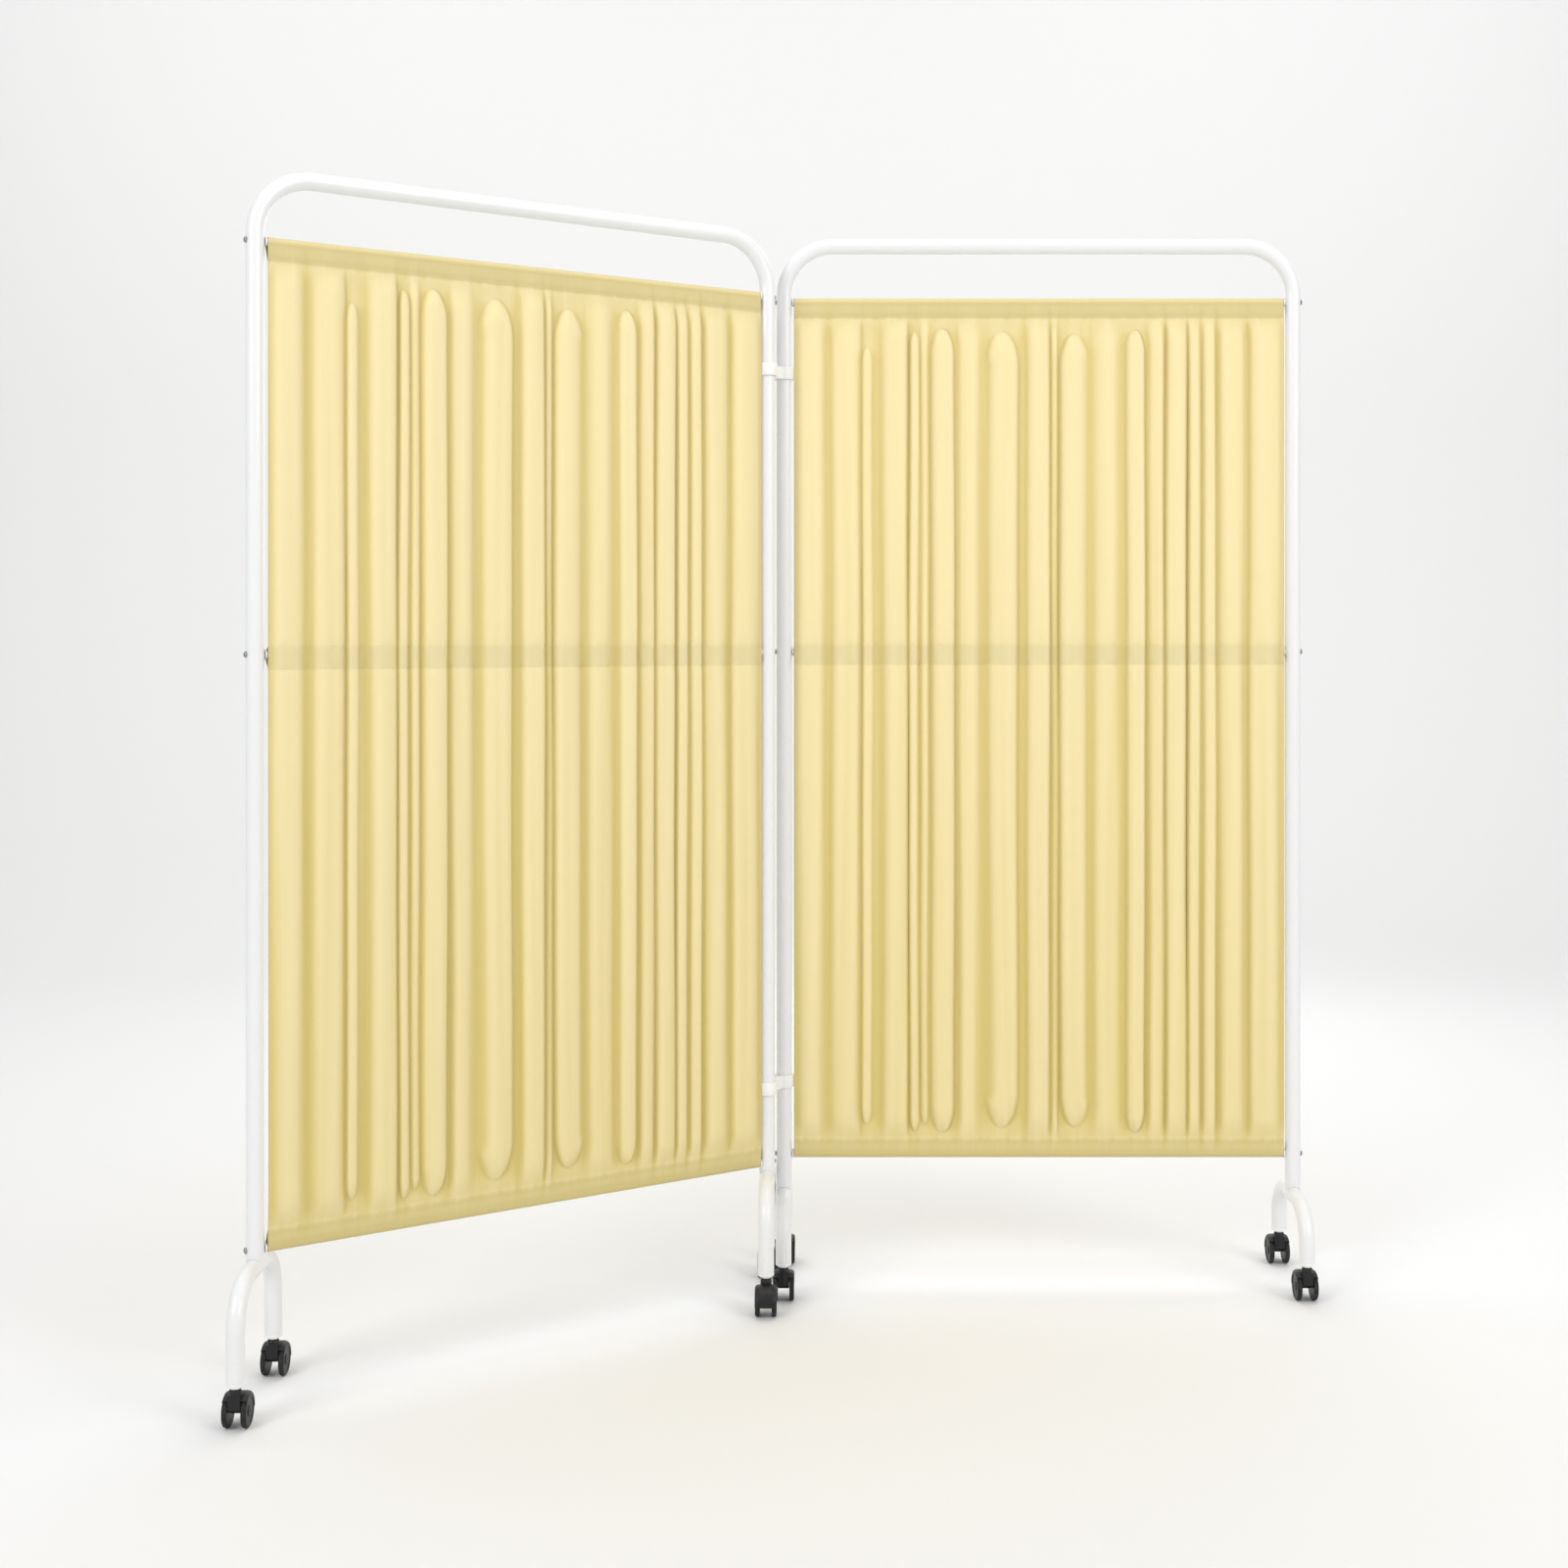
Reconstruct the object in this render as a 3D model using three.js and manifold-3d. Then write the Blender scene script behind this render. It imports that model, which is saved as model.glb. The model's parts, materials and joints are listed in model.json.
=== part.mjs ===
// A ward privacy screen: two curtained tube panels, hinged together and standing on four castor feet.
// Millimetres, +Z up, +X to the right along the right panel, and the front towards -Y.
import * as THREE from 'three';
import { mergeVertices } from 'three/addons/utils/BufferGeometryUtils.js';
import Module from 'manifold-3d';

const wasm = await Module();
wasm.setup();

// Overall sizes
const SCREEN_HEIGHT = 1700;
const PANEL_WIDTH = 828;
const OPEN_ANGLE = 33;
const HINGE_SIDE_STEP = 26.5;
const HINGE_DEPTH_STEP = 52;

// Frame tube, the same for the hoops and the feet
const TUBE_RADIUS = 12.5;
const TUBE_WALL = 1.5;
const CORNER_RADIUS = 80;

// Feet
const LEFT_CROWN_HEIGHT = 188;
const RIGHT_CROWN_HEIGHT = 146;
const FOOT_SPREAD = 186;
const FOOT_BEND_RADIUS = 60;
const SPIGOT_ABOVE_SCREW = 25;
const SPIGOT_WALL = 1.6;

// Castors
const WHEEL_RADIUS = 22;
const WHEEL_WIDTH = 7.5;
const TREAD_CHAMFER = 2.4;
const TREAD_CHAMFER_WIDTH = 2;
const CASTOR_WIDTH = 33.5;
const CASTOR_TRAIL = 11;
const HOOD_HEIGHT = 56;
const BOSS_RADIUS = 8.7;
const BOSS_FLOOR = 2;
const BOSS_CHAMFER = 2;
const BOSS_CHAMFER_DEPTH = 3;
const HOOD_SHOULDER = 6;
const FENDER_WALL = 2.2;
const FENDER_START = 0.74 * Math.PI;
const FENDER_END = -0.09;
const AXLE_RADIUS = 2;
const AXLE_BOSS_WALL = 1.6;
const AXLE_BITE = 5;
const STEM_RADIUS = 4;
const NECK_RADIUS = 7.5;
const NECK_HEIGHT = 2.8;
const STEM_IN_HOOD = 26;
const CAP_HEIGHT = 5;
const PLUG_LENGTH = 26;

// Curtain rods and their fixings
const ROD_RADIUS = 5;
const ROD_BORE_RADIUS = 2.6;
const MIDDLE_ROD_DROP = 672;
const COLLAR_RADIUS = 7;
const SCREW_RADIUS = 2;
const SCREW_HEAD_RADIUS = 4.5;
const SCREW_HEAD_HEIGHT = 2.8;
const ROD_SCREW_BITE = 14;

// Curtain
const CURTAIN_DROP = 96;
const CURTAIN_BOTTOM = 204;
const CURTAIN_EDGE_GAP = 3.4;
const CLOTH_THICKNESS = 1.6;
const HEM_DEPTH = 32;
const BAND_ABOVE_ROD = 15;
const BAND_BELOW_ROD = 22;
const TOP_FADE = 92;
const BOTTOM_FADE = 94;

// Hinge clips
const LOWER_CLIP_HEIGHT = 330;
const UPPER_CLIP_DROP = 220;
const CLIP_HEIGHT = 20;
const CLIP_WALL = 3;
const CLIP_WEB = 10;

// Clearances
const SEAT_GAP = 0.3;
const SLIDE_GAP = 0.4;
const RUNNING_GAP = 0.45;
const FENDER_GAP = 1.1;
const CUT_OVERRUN = 1;

// Facets
const TUBE_SIDES = 12;
const BORE_SIDES = 10;
const CORNER_STEPS = 5;
const FOOT_STEPS = 4;
const WHEEL_SIDES = 16;
const SMALL_SIDES = 8;
const ARC_SEGMENTS = 6;

// Main folds of the cloth, left to right: centre, half width and height in thousandths of the cloth's
// width.
const FOLDS = [
  [39, 28, 11],
  [111, 24, 10],
  [150, 9, 8],
  [211, 23, 11],
  [246, 10, 11],
  [269, 10, 8],
  [308, 25, 15],
  [358, 24, 8],
  [433, 26, 15],
  [497, 23, 13],
  [535, 9, 8],
  [574, 28, 15],
  [644, 25, 9],
  [699, 20, 16],
  [736, 16, 10],
  [779, 23, 13],
  [820, 11, 10],
  [847, 15, 10],
  [898, 23, 13],
  [961, 32, 11],
];
const NARROW_FOLD = 23.5;

const BAR_HEIGHT = SCREEN_HEIGHT - TUBE_RADIUS;
const TUBE_BORE_RADIUS = TUBE_RADIUS - TUBE_WALL;
const CURTAIN_EDGE = TUBE_RADIUS + CURTAIN_EDGE_GAP;
const CLOTH_WIDTH = PANEL_WIDTH - 2 * CURTAIN_EDGE;
const FOLD_UNIT = CLOTH_WIDTH / 1000;
const CURTAIN_TOP = SCREEN_HEIGHT - CURTAIN_DROP;
const MIDDLE_ROD_HEIGHT = SCREEN_HEIGHT - MIDDLE_ROD_DROP;
const CASING_BORE = (ROD_RADIUS + SEAT_GAP) / Math.cos(Math.PI / BORE_SIDES);
const CASING_RADIUS = CASING_BORE + CLOTH_THICKNESS;
const TOP_ROD_HEIGHT = CURTAIN_TOP - CASING_RADIUS;
const BOTTOM_ROD_HEIGHT = CURTAIN_BOTTOM + CASING_RADIUS;
const SCREW_HOLE_RADIUS = (SCREW_RADIUS + SEAT_GAP) / Math.cos(Math.PI / SMALL_SIDES);
const NECK_BASE = HOOD_HEIGHT + SEAT_GAP;
const CAP_BASE = NECK_BASE + NECK_HEIGHT;
const LEG_END = CAP_BASE + CAP_HEIGHT + SEAT_GAP;
const PLUG_RADIUS = TUBE_BORE_RADIUS * Math.cos(Math.PI / BORE_SIDES) - SLIDE_GAP;
const STEM_BORE_RADIUS = (STEM_RADIUS + RUNNING_GAP) / Math.cos(Math.PI / SMALL_SIDES);
const BOSS_BASE = HOOD_HEIGHT - STEM_IN_HOOD - BOSS_FLOOR;
const AXLE_BORE_RADIUS = (AXLE_RADIUS + RUNNING_GAP) / Math.cos(Math.PI / SMALL_SIDES);
const ROD_POSITIONS = [TOP_ROD_HEIGHT, MIDDLE_ROD_HEIGHT, BOTTOM_ROD_HEIGHT];
const RIGHT_POST = new THREE.Vector3(HINGE_SIDE_STEP / 2, HINGE_DEPTH_STEP / 2, 0);
const LEFT_POST = RIGHT_POST.clone().negate();
const LEFT_TURN = Math.PI + THREE.MathUtils.degToRad(OPEN_ANGLE);

const whitePaint = { color: 0xf1f1f0, roughness: 0.32, metalness: 0.1 };
const whitePlastic = { color: 0xf4f4f2, roughness: 0.45, metalness: 0 };
const blackPlastic = { color: 0x17181a, roughness: 0.5, metalness: 0 };
const wheelPlastic = { color: 0x1d1e20, roughness: 0.6, metalness: 0 };
const brightSteel = { color: 0xb9bcc0, roughness: 0.3, metalness: 1 };
const creamCloth = { color: 0xecd99a, roughness: 0.75, metalness: 0 };

// A curve up one leg, round two corners and down the other leg, with its rings kept for the corners.
class ArchCurve extends THREE.Curve {
  constructor(direction, span, bottom, top, radius, cornerSteps) {
    super();
    Object.assign(this, { direction, span, bottom, top, radius, cornerSteps });
    this.rings = 3 + 2 * cornerSteps;
  }

  place(along, height) {
    const point = this.direction.clone().multiplyScalar(along);
    return point.setZ(height);
  }

  getPoint(t) {
    const { span, bottom, top, radius, cornerSteps } = this;
    const step = t * this.rings;
    const shoulder = top - radius;
    if (step <= 1) {
      return this.place(0, THREE.MathUtils.lerp(bottom, shoulder, step));
    }
    if (step <= 1 + cornerSteps) {
      const angle = ((step - 1) / cornerSteps) * (Math.PI / 2);
      return this.place(radius * (1 - Math.cos(angle)), shoulder + radius * Math.sin(angle));
    }
    if (step <= 2 + cornerSteps) {
      return this.place(THREE.MathUtils.lerp(radius, span - radius, step - 1 - cornerSteps), top);
    }
    if (step <= 2 + 2 * cornerSteps) {
      const angle = ((step - 2 - cornerSteps) / cornerSteps) * (Math.PI / 2);
      return this.place(span - radius * (1 - Math.sin(angle)), shoulder + radius * Math.cos(angle));
    }
    return this.place(span, THREE.MathUtils.lerp(shoulder, bottom, step - 2 - 2 * cornerSteps));
  }

  getUtoTmapping(u) {
    return u;
  }
}

// A regular polygon with its corners on a circle.
function roundOutline(radius, sides) {
  const points = [];
  for (let i = 0; i < sides; i += 1) {
    const angle = (2 * Math.PI * (i + 0.5)) / sides;
    points.push(new THREE.Vector2(radius * Math.cos(angle), radius * Math.sin(angle)));
  }
  return points;
}

function archTube(curve, radius, sides) {
  const section = new THREE.Shape(roundOutline(radius, sides));
  return new THREE.ExtrudeGeometry(section, { steps: curve.rings, extrudePath: curve });
}

// A round bar from one point to another.
function bar(radius, start, end, sides) {
  const line = new THREE.Vector3().subVectors(end, start);
  const geometry = new THREE.CylinderGeometry(radius, radius, line.length(), sides);
  const turn = new THREE.Quaternion().setFromUnitVectors(
    new THREE.Vector3(0, 1, 0),
    line.clone().normalize(),
  );
  geometry.applyQuaternion(turn);
  const middle = start.clone().add(end).multiplyScalar(0.5);
  return geometry.translate(middle.x, middle.y, middle.z);
}

// A turned piece standing on +Z, from pairs of radius and height.
function turned(profile, sides) {
  const points = profile.map(([radius, height]) => new THREE.Vector2(radius, height));
  const geometry = new THREE.LatheGeometry(points, sides, Math.PI / sides);
  return geometry.rotateX(Math.PI / 2);
}

// A side view drawn in Y and Z, given its width along X about the middle.
function slab(shape, width) {
  const geometry = new THREE.ExtrudeGeometry(shape, {
    depth: width,
    bevelEnabled: false,
    curveSegments: ARC_SEGMENTS,
  });
  const axes = new THREE.Matrix4().makeBasis(
    new THREE.Vector3(0, 1, 0),
    new THREE.Vector3(0, 0, 1),
    new THREE.Vector3(1, 0, 0),
  );
  geometry.applyMatrix4(axes);
  return geometry.translate(-width / 2, 0, 0);
}

function toSolid(geometry) {
  const bare = geometry.clone();
  bare.deleteAttribute('normal');
  bare.deleteAttribute('uv');
  const merged = mergeVertices(bare, 0.0001);
  const mesh = new wasm.Mesh({
    numProp: 3,
    vertProperties: new Float32Array(merged.attributes.position.array),
    triVerts: new Uint32Array(merged.index.array),
  });
  return new wasm.Manifold(mesh);
}

function toGeometry(solid) {
  const mesh = solid.getMesh();
  const geometry = new THREE.BufferGeometry();
  geometry.setAttribute('position', new THREE.BufferAttribute(mesh.vertProperties, 3));
  geometry.setIndex(new THREE.BufferAttribute(mesh.triVerts, 1));
  return geometry;
}

function named(name, geometry, finish) {
  const mesh = new THREE.Mesh(geometry, new THREE.MeshStandardMaterial(finish));
  mesh.name = name;
  return mesh;
}

function screw(length) {
  return turned(
    [
      [0, -length],
      [SCREW_RADIUS, -length],
      [SCREW_RADIUS, 0],
      [SCREW_HEAD_RADIUS, 0],
      [SCREW_HEAD_RADIUS * 0.75, SCREW_HEAD_HEIGHT * 0.8],
      [0, SCREW_HEAD_HEIGHT],
    ],
    SMALL_SIDES,
  );
}

// Turns a screw drawn on +Z so that its head points along a level direction, with its seat at a point.
function aimed(geometry, seat, direction) {
  const turn = new THREE.Quaternion().setFromUnitVectors(new THREE.Vector3(0, 0, 1), direction);
  geometry.applyQuaternion(turn);
  return geometry.translate(seat.x, seat.y, seat.z);
}

const hingeSide = (post) => (post === 0 ? -1 : 1);

// The direction from the left post to the right post, seen in the left panel's own axes.
function clipDirection() {
  const line = new THREE.Vector3().subVectors(RIGHT_POST, LEFT_POST);
  return line.normalize().applyAxisAngle(new THREE.Vector3(0, 0, 1), -LEFT_TURN);
}

// The hoop: both posts and the top bar in one bent tube, notched over the feet and drilled for screws.
function frameGeometry(panel) {
  const along = new THREE.Vector3(1, 0, 0);
  const outside = new ArchCurve(
    along, PANEL_WIDTH, panel.crown, BAR_HEIGHT, CORNER_RADIUS, CORNER_STEPS);
  const inside = new ArchCurve(
    along, PANEL_WIDTH, panel.crown - CUT_OVERRUN, BAR_HEIGHT, CORNER_RADIUS, CORNER_STEPS);
  let frame = toSolid(archTube(outside, TUBE_RADIUS, TUBE_SIDES));
  frame = frame.subtract(toSolid(archTube(inside, TUBE_BORE_RADIUS, BORE_SIDES)));
  const footLine = new THREE.Vector3(0, 1, 0).applyAxisAngle(new THREE.Vector3(0, 0, 1), -panel.turn);
  const notchRadius = (TUBE_RADIUS + SEAT_GAP) / Math.cos(Math.PI / TUBE_SIDES);
  for (const post of [0, PANEL_WIDTH]) {
    const crown = new THREE.Vector3(post, 0, panel.crown);
    const reach = footLine.clone().multiplyScalar(2 * TUBE_RADIUS);
    const notch = bar(notchRadius, crown.clone().sub(reach), crown.clone().add(reach), TUBE_SIDES);
    frame = frame.subtract(toSolid(notch));
    for (const height of ROD_POSITIONS) {
      const hole = bar(
        SCREW_HOLE_RADIUS,
        new THREE.Vector3(post - TUBE_RADIUS - CUT_OVERRUN, 0, height),
        new THREE.Vector3(post + TUBE_RADIUS + CUT_OVERRUN, 0, height),
        SMALL_SIDES,
      );
      frame = frame.subtract(toSolid(hole));
    }
  }
  return toGeometry(frame);
}

// A curtain rod: a thick tube with a collar at each end, its bore taking the screws.
function rodGeometry(height) {
  const length = PANEL_WIDTH - 2 * (TUBE_RADIUS + SEAT_GAP);
  const collar = CURTAIN_EDGE_GAP - 2 * SEAT_GAP;
  const rod = turned(
    [
      [ROD_BORE_RADIUS, 0],
      [COLLAR_RADIUS, 0],
      [COLLAR_RADIUS, collar],
      [ROD_RADIUS, collar],
      [ROD_RADIUS, length - collar],
      [COLLAR_RADIUS, length - collar],
      [COLLAR_RADIUS, length],
      [ROD_BORE_RADIUS, length],
      [ROD_BORE_RADIUS, 0],
    ],
    BORE_SIDES,
  );
  rod.rotateY(Math.PI / 2);
  return rod.translate(TUBE_RADIUS + SEAT_GAP, 0, height);
}

// A screw through a post into the rod's end.
function rodScrewGeometry(post, height) {
  const side = hingeSide(post);
  const seat = new THREE.Vector3(post + side * (TUBE_RADIUS + SEAT_GAP), 0, height);
  const length = 2 * (TUBE_RADIUS + SEAT_GAP) + ROD_SCREW_BITE;
  return aimed(screw(length), seat, new THREE.Vector3(side, 0, 0));
}

// A hinge clip: one ring clamped on the left post, one turning round the right post, and a web between.
function clipGeometry(height) {
  const reach = Math.hypot(HINGE_SIDE_STEP, HINGE_DEPTH_STEP);
  const turningBore = (TUBE_RADIUS + RUNNING_GAP) / Math.cos(Math.PI / TUBE_SIDES);
  const ring = turningBore + CLIP_WALL;
  const webAngle = Math.asin(CLIP_WEB / 2 / ring);
  const outline = new THREE.Shape();
  outline.absarc(0, 0, ring, webAngle, 2 * Math.PI - webAngle, false);
  outline.absarc(reach, 0, ring, -Math.PI + webAngle, Math.PI - webAngle, false);
  const clampedBore = (TUBE_RADIUS + SEAT_GAP) / Math.cos(Math.PI / TUBE_SIDES);
  for (const [centre, radius] of [[0, clampedBore], [reach, turningBore]]) {
    const bore = roundOutline(radius, TUBE_SIDES);
    outline.holes.push(new THREE.Path(bore.map((point) => point.setX(point.x + centre))));
  }
  const clip = new THREE.ExtrudeGeometry(outline, {
    depth: CLIP_HEIGHT,
    bevelEnabled: false,
    curveSegments: ARC_SEGMENTS,
  });
  clip.translate(0, 0, height - CLIP_HEIGHT / 2);
  const direction = clipDirection();
  return clip.rotateZ(Math.atan2(direction.y, direction.x));
}

// How far the cloth stands forward at a place across its width.
function foldHeight(across) {
  let height = 0;
  for (const [centre, halfWidth, crest] of FOLDS) {
    const away = Math.abs(across / FOLD_UNIT - centre) / halfWidth;
    if (away < 1) {
      height = Math.max(height, crest * 0.5 * (1 + Math.cos(Math.PI * away)));
    }
  }
  return height * FOLD_UNIT;
}

// Places across the cloth where a fold starts, rises, peaks, falls and ends.
function foldColumns() {
  const places = [0, CLOTH_WIDTH];
  for (const [centre, halfWidth] of FOLDS) {
    const shares = halfWidth < NARROW_FOLD ? [-1, 0, 1] : [-1, -0.5, 0, 0.5, 1];
    for (const share of shares) {
      places.push((centre + share * halfWidth) * FOLD_UNIT);
    }
  }
  places.sort((a, b) => a - b);
  return places.filter((place, i) => i === 0 || place - places[i - 1] > 1.5);
}

// The cloth as one closed sheet in front of the rods, its folds dying out at the hems.
function sheetGeometry() {
  const columns = foldColumns();
  const rows = [
    [CURTAIN_BOTTOM, 0],
    [CURTAIN_BOTTOM + HEM_DEPTH, 0],
    [CURTAIN_BOTTOM + HEM_DEPTH + BOTTOM_FADE, 1],
    [CURTAIN_TOP - HEM_DEPTH - TOP_FADE, 1],
    [CURTAIN_TOP - HEM_DEPTH, 0],
    [TOP_ROD_HEIGHT, 0],
  ];
  const positions = [];
  for (const layer of [0, 1]) {
    for (const [height, share] of rows) {
      for (const across of columns) {
        const forward = CASING_BORE + CLOTH_THICKNESS / 4 + share * foldHeight(across);
        positions.push(across, -forward - layer * CLOTH_THICKNESS, height);
      }
    }
  }
  const width = columns.length;
  const layerSize = width * rows.length;
  const index = [];
  const quad = (a, b, c, d) => index.push(a, b, c, a, c, d);
  for (let row = 0; row < rows.length - 1; row += 1) {
    for (let column = 0; column < width - 1; column += 1) {
      const back = row * width + column;
      const front = back + layerSize;
      quad(front, front + 1, front + width + 1, front + width);
      quad(back + width, back + width + 1, back + 1, back);
    }
    const left = row * width;
    const right = left + width - 1;
    quad(left, left + layerSize, left + layerSize + width, left + width);
    quad(right + width, right + layerSize + width, right + layerSize, right);
  }
  for (let column = 0; column < width - 1; column += 1) {
    const bottom = column;
    const top = (rows.length - 1) * width + column;
    quad(bottom, bottom + 1, bottom + layerSize + 1, bottom + layerSize);
    quad(top + layerSize, top + layerSize + 1, top + 1, top);
  }
  const geometry = new THREE.BufferGeometry();
  geometry.setAttribute('position', new THREE.Float32BufferAttribute(positions, 3));
  geometry.setIndex(index);
  return geometry;
}

// A sewn channel round a rod: where it has a stitch line above or below, its back layer runs to it.
function casingGeometry(rodHeight, above, below) {
  const seam = CASING_BORE + CLOTH_THICKNESS / 2;
  const outline = new THREE.Shape();
  const start = above > 0 ? 0.68 * Math.PI : 0;
  const end = below > 0 ? 1.32 * Math.PI : 2 * Math.PI;
  outline.absarc(0, 0, CASING_RADIUS, start, end, false);
  if (below > 0) {
    outline.lineTo(seam, -below);
  }
  if (above > 0) {
    outline.lineTo(seam, above);
  }
  outline.closePath();
  outline.holes.push(new THREE.Path(roundOutline(CASING_BORE, BORE_SIDES)));
  const casing = new THREE.ExtrudeGeometry(outline, {
    depth: CLOTH_WIDTH,
    bevelEnabled: false,
    curveSegments: ARC_SEGMENTS,
  });
  const axes = new THREE.Matrix4().makeBasis(
    new THREE.Vector3(0, -1, 0),
    new THREE.Vector3(0, 0, 1),
    new THREE.Vector3(-1, 0, 0),
  );
  casing.applyMatrix4(axes);
  return casing.translate(CLOTH_WIDTH, 0, rodHeight);
}

// The curtain: the folded sheet with a rod channel at its top, middle and bottom.
function curtainGeometry() {
  const topStitch = HEM_DEPTH - CASING_RADIUS;
  let cloth = toSolid(sheetGeometry());
  cloth = cloth.add(toSolid(casingGeometry(TOP_ROD_HEIGHT, 0, topStitch)));
  cloth = cloth.add(toSolid(casingGeometry(MIDDLE_ROD_HEIGHT, BAND_ABOVE_ROD, BAND_BELOW_ROD)));
  cloth = cloth.add(toSolid(casingGeometry(BOTTOM_ROD_HEIGHT, topStitch, 0)));
  return toGeometry(cloth);
}

// A foot: an inverted U of tube with a spigot that plugs into the post above it, bored across for the
// bottom rod's screw, which locks it there.
function footGeometry(panel) {
  const crownHeight = panel.crown;
  const along = new THREE.Vector3(0, 1, 0);
  const outside = new ArchCurve(
    along, FOOT_SPREAD, LEG_END, crownHeight, FOOT_BEND_RADIUS, FOOT_STEPS);
  const inside = new ArchCurve(
    along, FOOT_SPREAD, LEG_END - CUT_OVERRUN, crownHeight, FOOT_BEND_RADIUS, FOOT_STEPS);
  const arch = archTube(outside, TUBE_RADIUS, TUBE_SIDES).translate(0, -FOOT_SPREAD / 2, 0);
  const bore = archTube(inside, TUBE_BORE_RADIUS, BORE_SIDES).translate(0, -FOOT_SPREAD / 2, 0);
  const spigotTop = BOTTOM_ROD_HEIGHT + SPIGOT_ABOVE_SCREW;
  const spigot = turned(
    [
      [0, crownHeight],
      [PLUG_RADIUS, crownHeight],
      [PLUG_RADIUS, spigotTop],
      [PLUG_RADIUS - SPIGOT_WALL, spigotTop],
      [PLUG_RADIUS - SPIGOT_WALL, crownHeight + TUBE_RADIUS],
      [0, crownHeight + TUBE_RADIUS],
    ],
    BORE_SIDES,
  );
  const reach = new THREE.Vector3(TUBE_RADIUS, 0, 0)
    .applyAxisAngle(new THREE.Vector3(0, 0, 1), panel.turn);
  const centre = new THREE.Vector3(0, 0, BOTTOM_ROD_HEIGHT);
  const hole = bar(SCREW_HOLE_RADIUS, centre.clone().sub(reach), centre.clone().add(reach), SMALL_SIDES);
  const solid = toSolid(arch).add(toSolid(spigot));
  return toGeometry(solid.subtract(toSolid(bore)).subtract(toSolid(hole)));
}

// The plug in a leg's end with the castor's stem standing down from it.
function legCapGeometry() {
  return turned(
    [
      [0, HOOD_HEIGHT - STEM_IN_HOOD + SEAT_GAP],
      [STEM_RADIUS, HOOD_HEIGHT - STEM_IN_HOOD + SEAT_GAP],
      [STEM_RADIUS, NECK_BASE],
      [NECK_RADIUS, NECK_BASE],
      [NECK_RADIUS, CAP_BASE],
      [TUBE_RADIUS, CAP_BASE],
      [TUBE_RADIUS, CAP_BASE + CAP_HEIGHT],
      [PLUG_RADIUS, CAP_BASE + CAP_HEIGHT],
      [PLUG_RADIUS, LEG_END + PLUG_LENGTH],
      [0, LEG_END + PLUG_LENGTH],
    ],
    BORE_SIDES,
  );
}

// The side view of the hood's core: the fender's arc, the swivel boss and the axle's narrow boss.
function hoodCoreShape(fenderRadius) {
  const axleBoss = AXLE_RADIUS + AXLE_BOSS_WALL;
  const bossBack = Math.PI / 2 + Math.asin((CASTOR_TRAIL - BOSS_RADIUS) / fenderRadius);
  const shape = new THREE.Shape();
  shape.absarc(CASTOR_TRAIL, WHEEL_RADIUS, fenderRadius, FENDER_END, bossBack, false);
  shape.lineTo(-BOSS_RADIUS, HOOD_HEIGHT - HOOD_SHOULDER);
  shape.lineTo(-BOSS_RADIUS, BOSS_BASE);
  shape.lineTo(CASTOR_TRAIL - axleBoss, BOSS_BASE);
  shape.absarc(CASTOR_TRAIL, WHEEL_RADIUS, axleBoss, Math.PI, 2 * Math.PI, false);
  shape.closePath();
  return shape;
}

// The curved guard over both wheels.
function fenderShape(fenderRadius) {
  const shape = new THREE.Shape();
  const inside = fenderRadius - FENDER_WALL;
  shape.absarc(CASTOR_TRAIL, WHEEL_RADIUS, fenderRadius, FENDER_END, FENDER_START, false);
  shape.absarc(CASTOR_TRAIL, WHEEL_RADIUS, inside, FENDER_START, FENDER_END, true);
  shape.closePath();
  return shape;
}

function hoodGeometry() {
  const wheelCorner = WHEEL_RADIUS / Math.cos(Math.PI / WHEEL_SIDES);
  const fenderRadius = wheelCorner + FENDER_GAP + FENDER_WALL;
  const coreWidth = CASTOR_WIDTH - 2 * (WHEEL_WIDTH + RUNNING_GAP);
  const boss = turned(
    [
      [0, BOSS_BASE],
      [BOSS_RADIUS, BOSS_BASE],
      [BOSS_RADIUS, HOOD_HEIGHT - BOSS_CHAMFER_DEPTH],
      [BOSS_RADIUS - BOSS_CHAMFER, HOOD_HEIGHT],
      [0, HOOD_HEIGHT],
    ],
    BORE_SIDES,
  );
  const stemBore = bar(
    STEM_BORE_RADIUS,
    new THREE.Vector3(0, 0, HOOD_HEIGHT - STEM_IN_HOOD),
    new THREE.Vector3(0, 0, HOOD_HEIGHT + CUT_OVERRUN),
    SMALL_SIDES,
  );
  const axleBore = bar(
    AXLE_BORE_RADIUS,
    new THREE.Vector3(-CASTOR_WIDTH, CASTOR_TRAIL, WHEEL_RADIUS),
    new THREE.Vector3(CASTOR_WIDTH, CASTOR_TRAIL, WHEEL_RADIUS),
    SMALL_SIDES,
  );
  const core = slab(hoodCoreShape(fenderRadius), coreWidth);
  const fender = slab(fenderShape(fenderRadius), CASTOR_WIDTH + 2 * SEAT_GAP);
  const hood = toSolid(core).add(toSolid(fender)).add(toSolid(boss));
  return toGeometry(hood.subtract(toSolid(stemBore)).subtract(toSolid(axleBore)));
}

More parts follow.
